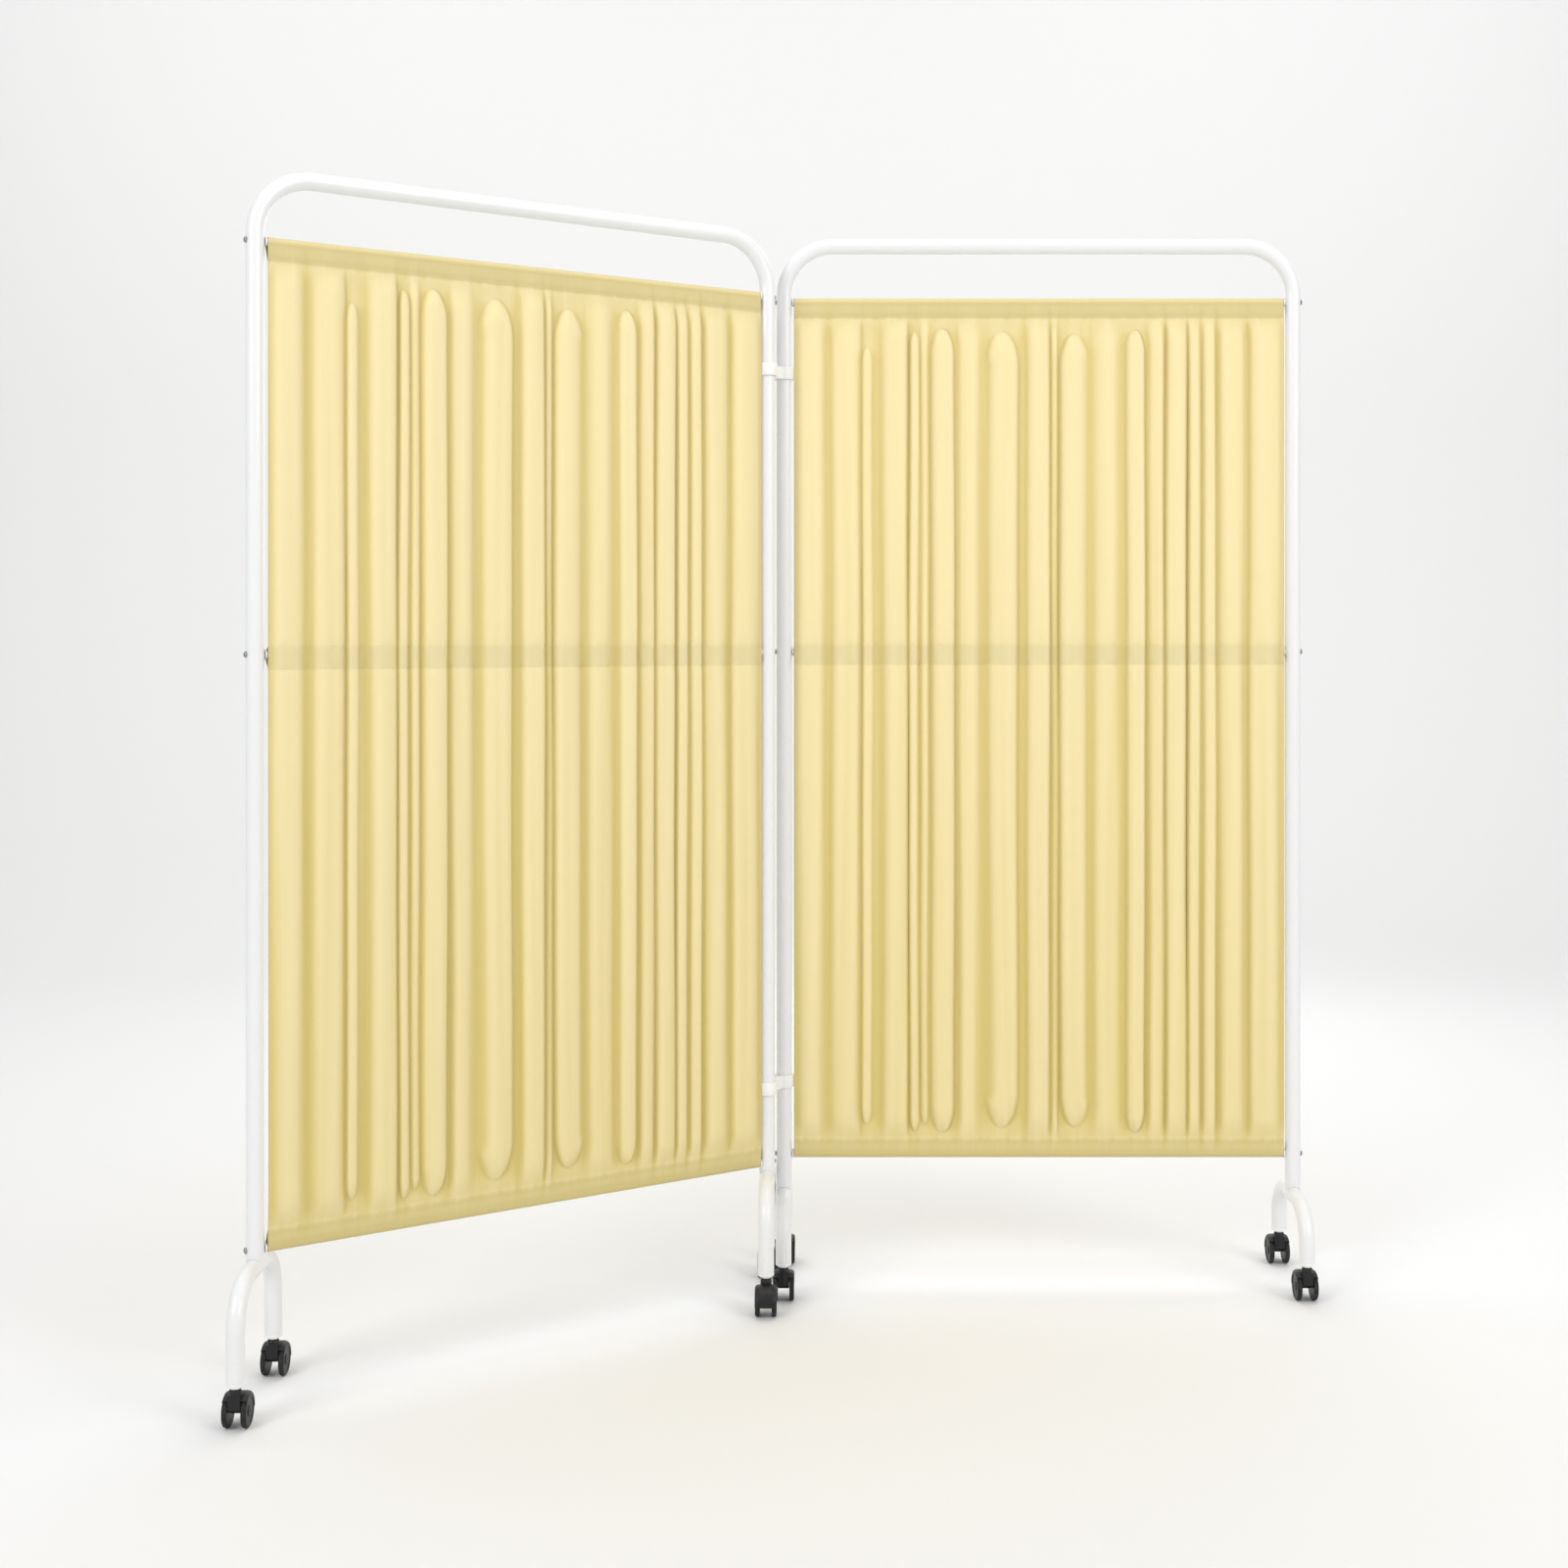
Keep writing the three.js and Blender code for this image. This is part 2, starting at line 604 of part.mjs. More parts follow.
// A wheel on +Z with its inner face at zero: one is bored for the axle, the other carries it.
function wheelGeometry(carriesAxle) {
  const rim = WHEEL_RADIUS / Math.cos(Math.PI / WHEEL_SIDES);
  const bore = (AXLE_RADIUS + SEAT_GAP) / Math.cos(Math.PI / WHEEL_SIDES);
  const axleReach = CASTOR_WIDTH - 2 * WHEEL_WIDTH + AXLE_BITE;
  const hub = carriesAxle
    ? [[0, -axleReach], [AXLE_RADIUS, -axleReach], [AXLE_RADIUS, 0]]
    : [[0, AXLE_BITE + SEAT_GAP], [bore, AXLE_BITE + SEAT_GAP], [bore, 0]];
  return turned(
    [
      ...hub,
      [rim, 0],
      [rim, WHEEL_WIDTH - TREAD_CHAMFER_WIDTH],
      [rim - TREAD_CHAMFER, WHEEL_WIDTH],
      [0, WHEEL_WIDTH],
    ],
    WHEEL_SIDES,
  );
}

// One castor at a leg's end: the plugged stem, the swivelling hood and the two wheels.
function castor(name) {
  const group = new THREE.Group();
  const innerFace = CASTOR_WIDTH / 2 - WHEEL_WIDTH;
  group.add(named(`${name}_stem`, legCapGeometry(), whitePlastic));
  group.add(named(`${name}_hood`, hoodGeometry(), blackPlastic));
  for (const [label, side] of [['left', -1], ['right', 1]]) {
    const wheel = named(`${name}_${label}_wheel`, wheelGeometry(side < 0), wheelPlastic);
    wheel.position.set(side * innerFace, CASTOR_TRAIL, WHEEL_RADIUS);
    wheel.rotation.y = (side * Math.PI) / 2;
    group.add(wheel);
  }
  return group;
}

// A foot under one post with its two castors, all of them trailing the same way.
function foot(name, post, panel, castorTurn) {
  const group = new THREE.Group();
  group.position.copy(post);
  group.add(named(`${name}_foot`, footGeometry(panel), whitePaint));
  for (const [label, side] of [['front', -1], ['rear', 1]]) {
    const wheels = castor(`${name}_${label}_castor`);
    wheels.position.y = (side * FOOT_SPREAD) / 2;
    wheels.rotation.z = castorTurn;
    group.add(wheels);
  }
  return group;
}

// A panel: the hoop, three rods with their screws, and the curtain.
function panelGroup(panel) {
  const group = new THREE.Group();
  group.position.copy(panel.post);
  group.rotation.z = panel.turn;
  group.add(named(`${panel.name}_frame`, frameGeometry(panel), whitePaint));
  for (const [label, height] of [
    ['top', TOP_ROD_HEIGHT],
    ['middle', MIDDLE_ROD_HEIGHT],
    ['bottom', BOTTOM_ROD_HEIGHT],
  ]) {
    group.add(named(`${panel.name}_${label}_rod`, rodGeometry(height), whitePaint));
    for (const [place, post] of [['inner', 0], ['outer', PANEL_WIDTH]]) {
      const screwName = `${panel.name}_${label}_${place}_screw`;
      group.add(named(screwName, rodScrewGeometry(post, height), brightSteel));
    }
  }
  const curtain = named(`${panel.name}_curtain`, curtainGeometry(), creamCloth);
  const clothStart = panel.back > 0 ? CURTAIN_EDGE : PANEL_WIDTH - CURTAIN_EDGE;
  curtain.position.x = clothStart;
  curtain.rotation.z = panel.back > 0 ? 0 : Math.PI;
  group.add(curtain);
  if (panel.carriesClips) {
    const upper = clipGeometry(SCREEN_HEIGHT - UPPER_CLIP_DROP);
    group.add(named('lower_hinge_clip', clipGeometry(LOWER_CLIP_HEIGHT), whitePlastic));
    group.add(named('upper_hinge_clip', upper, whitePlastic));
  }
  return group;
}

// A panel with everything that stands under it.
function standingPanel(panel) {
  const group = new THREE.Group();
  const outerPost = new THREE.Vector3(PANEL_WIDTH, 0, 0)
    .applyAxisAngle(new THREE.Vector3(0, 0, 1), panel.turn)
    .add(panel.post);
  group.add(panelGroup(panel));
  group.add(foot(`${panel.name}_inner`, panel.post, panel, panel.innerCastorTurn));
  group.add(foot(`${panel.name}_outer`, outerPost, panel, panel.outerCastorTurn));
  return group;
}

const screen = new THREE.Group();
screen.add(
  standingPanel({
    name: 'right',
    post: RIGHT_POST,
    turn: 0,
    crown: RIGHT_CROWN_HEIGHT,
    back: 1,
    innerCastorTurn: 0,
    outerCastorTurn: 0,
    carriesClips: false,
  }),
  standingPanel({
    name: 'left',
    post: LEFT_POST,
    turn: LEFT_TURN,
    crown: LEFT_CROWN_HEIGHT,
    back: -1,
    innerCastorTurn: Math.PI,
    outerCastorTurn: 0,
    carriesClips: true,
  }),
);

// The origin is on the floor, under the middle of the whole screen.
screen.updateMatrixWorld(true);
const middle = new THREE.Box3().setFromObject(screen, true).getCenter(new THREE.Vector3());
screen.position.set(-middle.x, -middle.y, 0);

export default screen;
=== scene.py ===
"""A ward privacy screen on wheels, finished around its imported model."""

import json
import math

import bpy
import numpy as np
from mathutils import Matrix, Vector


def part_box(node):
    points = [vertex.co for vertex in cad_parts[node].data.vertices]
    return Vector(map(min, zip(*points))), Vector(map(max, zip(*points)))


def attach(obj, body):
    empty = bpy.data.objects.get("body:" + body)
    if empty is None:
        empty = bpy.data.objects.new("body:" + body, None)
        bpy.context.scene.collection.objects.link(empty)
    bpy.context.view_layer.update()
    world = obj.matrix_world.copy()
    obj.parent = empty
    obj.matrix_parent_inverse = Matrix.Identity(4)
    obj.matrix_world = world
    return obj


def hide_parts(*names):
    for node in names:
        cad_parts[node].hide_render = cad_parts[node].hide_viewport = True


bl_info = {
    "name": "Ward privacy screen",
    "version": (1, 0, 0),
    "blender": (4, 5, 0),
    "location": "View3D > Sidebar > Ward screen",
    "description": "Finishes the tubes, curtains and castors of a folding ward screen",
    "category": "Object",
}

MM = 0.001
UP = Vector((0, 0, 1))
QUARTER = math.pi / 2
FIT = 0.3 * MM  # room between a tube and what is cut or butted against it
CAD_TUBE_SIDES = 12
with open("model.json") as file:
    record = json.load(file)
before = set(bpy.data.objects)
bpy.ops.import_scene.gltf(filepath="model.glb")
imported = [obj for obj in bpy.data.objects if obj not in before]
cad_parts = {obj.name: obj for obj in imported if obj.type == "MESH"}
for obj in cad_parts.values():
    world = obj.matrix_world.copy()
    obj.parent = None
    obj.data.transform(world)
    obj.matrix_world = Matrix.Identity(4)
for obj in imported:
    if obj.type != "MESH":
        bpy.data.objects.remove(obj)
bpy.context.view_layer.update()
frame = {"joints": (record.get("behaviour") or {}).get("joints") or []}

FEET = ("right_inner", "right_outer", "left_inner", "left_outer")
ENDS = ("front", "rear")
RODS = ("top", "middle", "bottom")


def joint_place(name):
    """Where a joint stands at rest."""
    return Vector(next(joint["pos_m"] for joint in frame["joints"] if joint["name"] == name))


def castor_place(castor):
    """A castor's swivel axis at floor height."""
    place = joint_place(f"{castor}_swivel_turn")
    return Vector((place.x, place.y, 0))


def post_place(foot):
    """The axis of the post over a foot, at floor height."""
    ends = [castor_place(f"{foot}_{end}_castor") for end in ENDS]
    return (ends[0] + ends[1]) / 2


POSTS = {foot: post_place(foot) for foot in FEET}


class Panel:
    """One panel's own directions: across from left to right as seen from the front, and forward."""

    def __init__(self, name):
        self.name = name
        self.body = f"{name}_panel"
        ends = sorted((POSTS[f"{name}_inner"], POSTS[f"{name}_outer"]), key=lambda post: post.x)
        self.start, self.end = ends
        self.width = (self.end - self.start).length
        self.across = (self.end - self.start).normalized()
        self.forward = Vector((self.across.y, -self.across.x, 0))

    def point(self, across, forward, height):
        """A place on the panel in the screen's own frame."""
        return self.start + self.across * across + self.forward * forward + UP * height


PANELS = [Panel("right"), Panel("left")]


# Sizes and colours that a user would change


def length(name, description, default, low, high):
    """A distance in metres."""
    return bpy.props.FloatProperty(
        name=name, description=description, default=default, min=low, max=high,
        subtype="DISTANCE", unit="LENGTH", precision=4,
    )


def colour(name, description, default):
    """A linear colour."""
    return bpy.props.FloatVectorProperty(
        name=name, description=description, default=default, min=0, max=1, size=3, subtype="COLOR"
    )


class TubeSizes(bpy.types.PropertyGroup):
    """The bent tubes of the hoops and feet."""

    radius: length("Tube radius", "Outer radius of every frame tube", 0.0125, 0.008, 0.02)
    corner: length("Hoop corner", "Centreline radius of the top corners", 0.08, 0.03, 0.2)
    foot_bend: length("Foot bend", "Centreline radius of a foot's bends", 0.06, 0.02, 0.08)
    paint: colour("Paint", "Powder coat", (0.80, 0.805, 0.81))


class CurtainLook(bpy.types.PropertyGroup):
    """The cloth of both curtains."""

    edge: length("Edge", "From a post's axis to the cloth's edge", 0.0159, 0.013, 0.04)
    casing: length("Casing", "Radius of the cloth round a rod", 0.0062, 0.0055, 0.01)
    thickness: length("Thickness", "Thickness of the cloth", 0.0005, 0.0002, 0.002)
    column: length("Column", "Spacing of the mesh across the cloth", 0.002, 0.001, 0.01)
    stitch: length("Stitch", "Pitch of the stitches", 0.005, 0.002, 0.02)
    # Painted light and shade: the cloth as lit on a fold's crest and as shaded in its valley
    light: colour("Light cloth", "Cloth on the crest of a fold", (0.97, 0.855, 0.52))
    deep_shade: colour("Deep cloth", "Cloth in the hollow of a fold", (0.70, 0.575, 0.19))
    # Painted shade: the cloth as shaded where it is double
    hem: colour("Double cloth", "Cloth where it is double", (0.60, 0.50, 0.26))
    thread: colour("Thread", "Sewing thread", (0.82, 0.72, 0.38))


class CastorSizes(bpy.types.PropertyGroup):
    """The twin-wheel castors."""

    wheel: length("Wheel", "Radius of a wheel", 0.022, 0.015, 0.03)
    tread_round: length("Tread round", "Rounding of a wheel's outer shoulder", 0.003, 0.001, 0.005)
    fender: length("Fender", "Outer radius of the hood round the axle", 0.0256, 0.021, 0.03)
    shoulder: length("Shoulder", "Width over which the hood's sides round off", 0.007, 0.002, 0.012)
    boss: length("Boss", "Radius of the swivel boss", 0.0087, 0.006, 0.012)
    black: colour("Black", "Moulded plastic", (0.008, 0.008, 0.009))


class StageLook(bpy.types.PropertyGroup):
    """The floor, backdrop and lamps."""

    ground: colour("Ground", "Floor and backdrop", (0.8, 0.8, 0.8))
    key: bpy.props.FloatProperty(
        name="Key", description="Power of the front lamp", default=68, min=0, max=2000, unit="POWER"
    )


GROUPS = {
    "screen_tubes": TubeSizes,
    "screen_curtains": CurtainLook,
    "screen_castors": CastorSizes,
    "screen_stage": StageLook,
}


# Finishes


class Shade:
    """A shader socket that takes part in plain expressions."""

    def __init__(self, finish, node, output=0):
        self.finish = finish
        self.node = node
        self.socket = node.outputs[output] if node.outputs else None

    def out(self, name):
        """Another output of the same node."""
        return Shade(self.finish, self.node, name)

    def _math(self, operation, first, second=0.0):
        return self.finish.node("Math", {"operation": operation}, {0: first, 1: second})

    def __add__(self, other):
        return self._math("ADD", self, other)

    def __radd__(self, other):
        return self._math("ADD", other, self)

    def __sub__(self, other):
        return self._math("SUBTRACT", self, other)

    def __rsub__(self, other):
        return self._math("SUBTRACT", other, self)

    def __mul__(self, other):
        return self._math("MULTIPLY", self, other)

    def __rmul__(self, other):
        return self._math("MULTIPLY", other, self)

    def sine(self):
        """The sine of the value."""
        return self._math("SINE", self)

    def ramp(self, low, high):
        """Zero below one value, one above the other, and smooth between."""
        sockets = {"Value": self, "From Min": low, "From Max": high}
        return self.finish.node("MapRange", {"interpolation_type": "SMOOTHSTEP"}, sockets)


class Finish:
    """A material with its nodes, ending in one Principled surface."""

    def __init__(self, name):
        self.material = bpy.data.materials.new(name)
        self.material.use_nodes = True
        self.material.node_tree.nodes.clear()

    def node(self, kind, settings=None, sockets=None, output=0):
        """Adds a node, sets it, and gives its sockets values or links."""
        tree = self.material.node_tree
        made = tree.nodes.new("ShaderNode" + kind)
        for key, value in (settings or {}).items():
            setattr(made, key, value)
        for key, value in (sockets or {}).items():
            if isinstance(value, Shade):
                tree.links.new(value.socket, made.inputs[key])
            elif hasattr(value, "__len__") and made.inputs[key].type == "RGBA":
                made.inputs[key].default_value = (*value[:3], 1)
            else:
                made.inputs[key].default_value = value
        return Shade(self, made, output)

    def place(self):
        """The place on the object, in metres."""
        return self.node("TexCoord", output="Object")

    def noise(self, scale, detail=2.0, roughness=0.5, place=None):
        """Smooth noise between zero and one."""
        place = place or self.place()
        sockets = {"Vector": place, "Scale": scale, "Detail": detail, "Roughness": roughness}
        return self.node("TexNoise", {}, sockets)

    def mix(self, amount, first, second):
        """A blend of two colours."""
        first_colour, second_colour, blended = 6, 7, 2  # the Mix node's colour sockets, by number
        sockets = {"Factor": amount, first_colour: first, second_colour: second}
        return self.node("Mix", {"data_type": "RGBA"}, sockets, output=blended)

    def bump(self, height, strength, distance):
        """A surface normal from a height."""
        return self.node("Bump", {}, {"Height": height, "Strength": strength, "Distance": distance})

    def surface(self, colour, roughness, normal=None, metallic=0.0, extra=None):
        """The Principled surface itself."""
        sockets = {"Base Color": colour, "Roughness": roughness, "Metallic": metallic}
        sockets.update(extra or {})
        if normal:
            sockets["Normal"] = normal
        return self.node("BsdfPrincipled", {}, sockets)

    def finish(self, surface):
        """Joins the surface to the output."""
        self.node("OutputMaterial", {}, {"Surface": surface})
        return self.material


def dimmed(colour, share):
    """A colour with a share of its light."""
    return tuple(channel * share for channel in colour)


def powder_coat(paint):
    """White powder coat with a faint orange peel, a little grey where hands and shoes reach it."""
    coat = Finish("white powder coat")
    cloud = coat.noise(7.0, 3.0)
    peel = coat.noise(420.0, 1.0)
    height = coat.node("SeparateXYZ", {}, {"Vector": coat.place()}, output="Z")
    low = 1 - height.ramp(0.06, 0.2)
    scuff = coat.noise(90.0, 4.0, 0.7).ramp(0.58, 0.7) * low * 0.22
    tint = coat.mix(cloud * 0.25, paint, dimmed(paint, 0.94))
    colour = coat.mix(scuff, tint, dimmed(paint, 0.8))
    roughness = 0.26 + cloud * 0.12 + scuff * 0.5
    normal = coat.bump(peel, 0.05, 0.4 * MM)
    return coat.finish(coat.surface(colour, roughness, normal, extra={"Coat Weight": 0.15}))


def moulded_white():
    """White moulded plastic."""
    plastic = Finish("white moulded plastic")
    cloud = plastic.noise(60.0)
    grain = plastic.noise(1500.0, 1.0)
    colour = plastic.mix(cloud * 0.5, (0.87, 0.87, 0.86), (0.8, 0.8, 0.78))
    roughness = 0.4 + cloud * 0.12
    return plastic.finish(plastic.surface(colour, roughness, plastic.bump(grain, 0.08, 0.2 * MM)))


def moulded_black(black):
    """Black moulded plastic with a fine grain, greyed where it faces up: dusty there, with a painted
    highlight on top.
    """
    plastic = Finish("black moulded plastic")
    grain = plastic.noise(1800.0, 2.0)
    cloud = plastic.noise(110.0, 3.0)
    facing = plastic.node("NewGeometry", output="Normal")
    upward = plastic.node("SeparateXYZ", {}, {"Vector": facing}, output="Z").ramp(0.3, 1.0)
    # Grey on the upward faces: dusty, and a painted highlight on the tops
    dust_and_top_highlight = upward * cloud.ramp(0.3, 0.8) * 0.15
    colour = plastic.mix(dust_and_top_highlight, black, (0.14, 0.135, 0.125))
    roughness = 0.34 + cloud * 0.15
    normal = plastic.bump(grain, 0.12, 0.2 * MM)
    return plastic.finish(
        plastic.surface(colour, roughness, normal, extra={"Specular IOR Level": 0.36})
    )


def wheel_plastic(black, radius):
    """The wheels' harder plastic: a tread scuffed grey by the floor and a smoother face."""
    plastic = Finish("castor wheel plastic")
    cloud = plastic.noise(160.0, 4.0, 0.65)
    reach = plastic.node("Attribute", {"attribute_name": "reach"}, output="Fac")
    tread = reach.ramp(radius * 0.93, radius * 0.995)
    scuff = tread * cloud.ramp(0.35, 0.75)
    colour = plastic.mix(scuff * 0.3, black, (0.08, 0.077, 0.07))
    roughness = 0.36 + tread * 0.3 + cloud * 0.1
    normal = plastic.bump(cloud, 0.1, 0.3 * MM)
    return plastic.finish(
        plastic.surface(colour, roughness, normal, extra={"Specular IOR Level": 0.34})
    )


def plated_steel():
    """Zinc-plated screw steel."""
    steel = Finish("plated screw steel")
    cloud = steel.noise(700.0, 3.0)
    colour = steel.mix(cloud, (0.42, 0.43, 0.44), (0.3, 0.3, 0.31))
    return steel.finish(steel.surface(colour, 0.28 + cloud * 0.2, metallic=1.0))


THREAD_SPACING = 1.1 * MM


def curtain_cloth(look):
    """Thin woven cream cloth with painted light on its crests and painted shade in its valleys,
    along the feet of its folds and where it is double.
    """
    cloth = Finish("cream curtain cloth")
    flat = cloth.node("UVMap", {"uv_map": "flat"})
    parts = cloth.node("SeparateXYZ", {}, {"Vector": flat})
    across, height = parts.out("X"), parts.out("Y")
    hollow = cloth.node("Attribute", {"attribute_name": "hollow"}, output="Fac")
    doubled = cloth.node("Attribute", {"attribute_name": "doubled"}, output="Fac")
    streak_place = cloth.node("CombineXYZ", {}, {"X": across * 160.0, "Y": height * 2.2, "Z": 0.0})
    streak = cloth.noise(1.0, 3.0, 0.6, streak_place)
    turns = 2 * math.pi / THREAD_SPACING
    weave = (across * turns).sine() * (height * turns).sine()
    slub = cloth.noise(260.0, 3.0, 0.6, flat)
    lower = 1 - height.ramp(0.15, 1.45)
    crease = cloth.node("Attribute", {"attribute_name": "crease"}, output="Fac")
    # Painted light and shade from the folds and the double cloth, darker towards the bottom, with
    # random streaks
    deep_shade = hollow * 0.85 + doubled * 0.42 + lower * 0.32 + (streak - 0.5) * 0.3
    colour = cloth.mix(deep_shade.ramp(-0.15, 1.35), tuple(look.light), tuple(look.deep_shade))
    # Painted shade where the cloth is double
    colour = cloth.mix(doubled * 0.4, colour, tuple(look.hem))
    # Painted shade along the pressed feet of the folds
    colour = cloth.mix(crease * 0.42, colour, dimmed(look.deep_shade, 0.7))
    colour = cloth.mix(slub * 0.12, colour, tuple(look.deep_shade))
    roughness = 0.78 + slub * 0.12
    normal = cloth.bump(weave * 0.5 + slub, 0.22, 0.3 * MM)
    sheen = {"Sheen Weight": 0.25, "Sheen Roughness": 0.5}
    face = cloth.surface(colour, roughness, normal, extra=sheen)
    through = cloth.node("BsdfTranslucent", {}, {"Color": (0.9, 0.8, 0.45), "Normal": normal})
    thin = 0.22 - doubled * 0.1
    return cloth.finish(cloth.node("MixShader", {}, {0: thin, 1: face, 2: through}))


def sewing_thread(shade):
    """Twisted polyester thread."""
    thread = Finish("sewing thread")
    twist = thread.noise(2500.0, 2.0)
    colour = thread.mix(twist, shade, dimmed(shade, 0.75))
    normal = thread.bump(twist, 0.2, 0.2 * MM)
    return thread.finish(thread.surface(colour, 0.55 + twist * 0.1, normal))


def stage_ground(look):
    """The pale floor and backdrop."""
    ground = Finish("pale ground")
    cloud = ground.noise(0.8)
    colour = ground.mix(cloud * 0.1, tuple(look.ground), dimmed(look.ground, 0.98))
    return ground.finish(ground.surface(colour, 0.9))


def material(name, maker, *sizes):
    """A finish, made the first time that it is asked for."""
    return bpy.data.materials.get(name) or maker(*sizes)


# Mesh making


class Form:
    """Points and faces that become one piece."""

    def __init__(self):
        self.points = []
        self.faces = []
        self.values = {}

    def add(self, points, faces):
        """Adds a closed skin or a sheet."""
        first = len(self.points)
        self.points.extend(tuple(point) for point in points)
        self.faces.extend(tuple(first + corner for corner in face) for face in faces)

    def piece(self, name, finish, body, nodes=(), sharp=40):
        """Makes the piece, lets it ride on its body and stand for its nodes."""
        mesh = bpy.data.meshes.new(name)
        mesh.from_pydata(self.points, [], self.faces)
        mesh.validate()
        mesh.update()
        mesh.polygons.foreach_set("use_smooth", [True] * len(mesh.polygons))
        mesh.set_sharp_from_angle(angle=math.radians(sharp))
        for key, values in self.values.items():
            mesh.attributes.new(key, "FLOAT", "POINT").data.foreach_set("value", values)
        mesh.materials.append(finish)
        made = bpy.data.objects.new(name, mesh)
        bpy.context.scene.collection.objects.link(made)
        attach(made, body)
        if nodes:
            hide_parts(*nodes)
        return made


def rings_faces(rings, sides):
    """Faces between rings of points, with a cap on each end."""
    faces = []
    for ring in range(rings - 1):
        for side in range(sides):
            after = (side + 1) % sides
            low, high = ring * sides, (ring + 1) * sides
            faces.append((low + side, low + after, high + after, high + side))
    faces.append(tuple(reversed(range(sides))))
    faces.append(tuple(range((rings - 1) * sides, rings * sides)))
    return faces


def arch_path(start, along, span, bottom, top, bend, steps):
    """Centreline points and directions of an inverted U."""
    path = [(start + UP * bottom, UP.copy())]
    shoulder = top - bend
    for step in range(steps + 1):
        angle = QUARTER * step / steps
        reach = bend * (1 - math.cos(angle))
        point = start + along * reach + UP * (shoulder + bend * math.sin(angle))
        path.append((point, UP * math.cos(angle) + along * math.sin(angle)))
    for step in range(steps + 1):
        angle = QUARTER * step / steps
        reach = span - bend * (1 - math.sin(angle))
        point = start + along * reach + UP * (shoulder + bend * math.cos(angle))
        path.append((point, along * math.cos(angle) - UP * math.sin(angle)))
    path.append((start + along * span + UP * bottom, -UP))
    return path


def swept_tube(path, side, radius, sides):
    """A round tube along a flat path, from the direction square to the path's plane."""
    points = []
    for point, tangent in path:
        other = tangent.cross(side)
        for step in range(sides):
            angle = 2 * math.pi * step / sides
            points.append(point + (side * math.cos(angle) + other * math.sin(angle)) * radius)
    return points, rings_faces(len(path), sides)


def turned(profile, centre, axis, sides):
    """A turned form, from pairs of radius and distance along its axis."""
    axis = axis.normalized()
    first = axis.orthogonal().normalized()
    second = axis.cross(first)
    points, faces = [], []
    rings = []
    for radius, distance in profile:
        middle = centre + axis * distance
        if radius <= 0:
            rings.append((len(points),))
            points.append(middle)
            continue
        rings.append(tuple(range(len(points), len(points) + sides)))
        for step in range(sides):
            angle = 2 * math.pi * step / sides
            points.append(middle + (first * math.cos(angle) + second * math.sin(angle)) * radius)
    for low, high in zip(rings, rings[1:]):
        for side in range(sides):
            after = (side + 1) % sides
            if len(low) == 1:
                faces.append((low[0], high[after], high[side]))
            elif len(high) == 1:
                faces.append((low[side], low[after], high[0]))
            else:
                faces.append((low[side], low[after], high[after], high[side]))
    return points, faces


def turned_ring(profile, centre, axis, sides):
    """A turned form whose profile closes on itself."""
    points, faces = turned([*profile, profile[0]], centre, axis, sides)
    last = len(profile) * sides
    faces = [tuple(corner % last for corner in face) for face in faces]
    return points[:last], faces


def rounded(corners, radius, steps=4):
    """A profile whose inner corners are rounded."""
    result = [corners[0]]
    for before, corner, after in zip(corners, corners[1:], corners[2:]):
        here = Vector(corner)
        back = Vector(before) - here
        ahead = Vector(after) - here
        cut = min(radius, back.length / 2, ahead.length / 2)
        start = here + back.normalized() * cut
        end = here + ahead.normalized() * cut
        for step in range(steps + 1):
            t = step / steps
            result.append(tuple(start * (1 - t) ** 2 + here * (2 * t * (1 - t)) + end * t**2))
    return [*result, corners[-1]]


# Tubes, rods and small fixings


def crown_height(foot, radius):
    """Height of a foot's crown centreline, from its post's lowest point."""
    panel = foot.split("_")[0]
    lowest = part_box(f"{panel}_frame")[0].z
    return lowest - tube_seat(radius)


def tube_seat(radius):
    """How far above the crown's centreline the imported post's notch starts, at its lowest point."""
    face = radius * math.cos(math.pi / CAD_TUBE_SIDES)
    return math.sqrt(max((radius + FIT) ** 2 - face**2, 0))


class WARD_SCREEN_OT_tubes(bpy.types.Operator):
    """Bends the two hoops and the four feet from round tube"""

    bl_idname = "ward_screen.tubes"
    bl_label = "Tubes"

    sides = 48
    hoop_steps = 24
    foot_steps = 16

    def execute(self, context):
        sizes = context.scene.screen_tubes
        paint = material("white powder coat", powder_coat, tuple(sizes.paint))
        for panel in PANELS:
            self.hoop(panel, sizes, paint)
        for foot in FEET:
            self.foot(foot, sizes, paint)
        return {"FINISHED"}

    def hoop(self, panel, sizes, paint):
        """One panel's two posts and top bar, each post's end notched over its foot's crown."""
        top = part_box(f"{panel.name}_frame")[1].z - sizes.radius
        crown = crown_height(f"{panel.name}_inner", sizes.radius)
        span = (panel.start, panel.across, panel.width)
        path = arch_path(*span, crown, top, sizes.corner, self.hoop_steps)
        points, faces = swept_tube(path, panel.forward, sizes.radius, self.sides)
        seat = sizes.radius + FIT
        ends = ((path[0][0], points[: self.sides]), (path[-1][0], points[-self.sides :]))
        for post, ring in ends:
            for point in ring:
                point.z = crown + math.sqrt(max(seat**2 - (point.x - post.x) ** 2, 0))
        form = Form()
        form.add(points, faces)
        name = panel.name
        form.piece(f"{name}_hoop_tube", paint, panel.body, [f"{name}_frame"])

    def foot(self, foot, sizes, paint):
        """One arched foot, from its front leg over the crown to its rear leg."""
        front, rear = (castor_place(f"{foot}_{end}_castor") for end in ENDS)
        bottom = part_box(f"{foot}_foot")[0].z
        crown = crown_height(foot, sizes.radius)
        along = (rear - front).normalized()
        span = (front, along, (rear - front).length)
        path = arch_path(*span, bottom, crown, sizes.foot_bend, self.foot_steps)
        points, faces = swept_tube(path, along.cross(UP), sizes.radius, self.sides)
        form = Form()
        form.add(points, faces)
        body = f"{foot.split('_')[0]}_panel"
        form.piece(f"{foot}_foot_tube", paint, body, [f"{foot}_foot"])


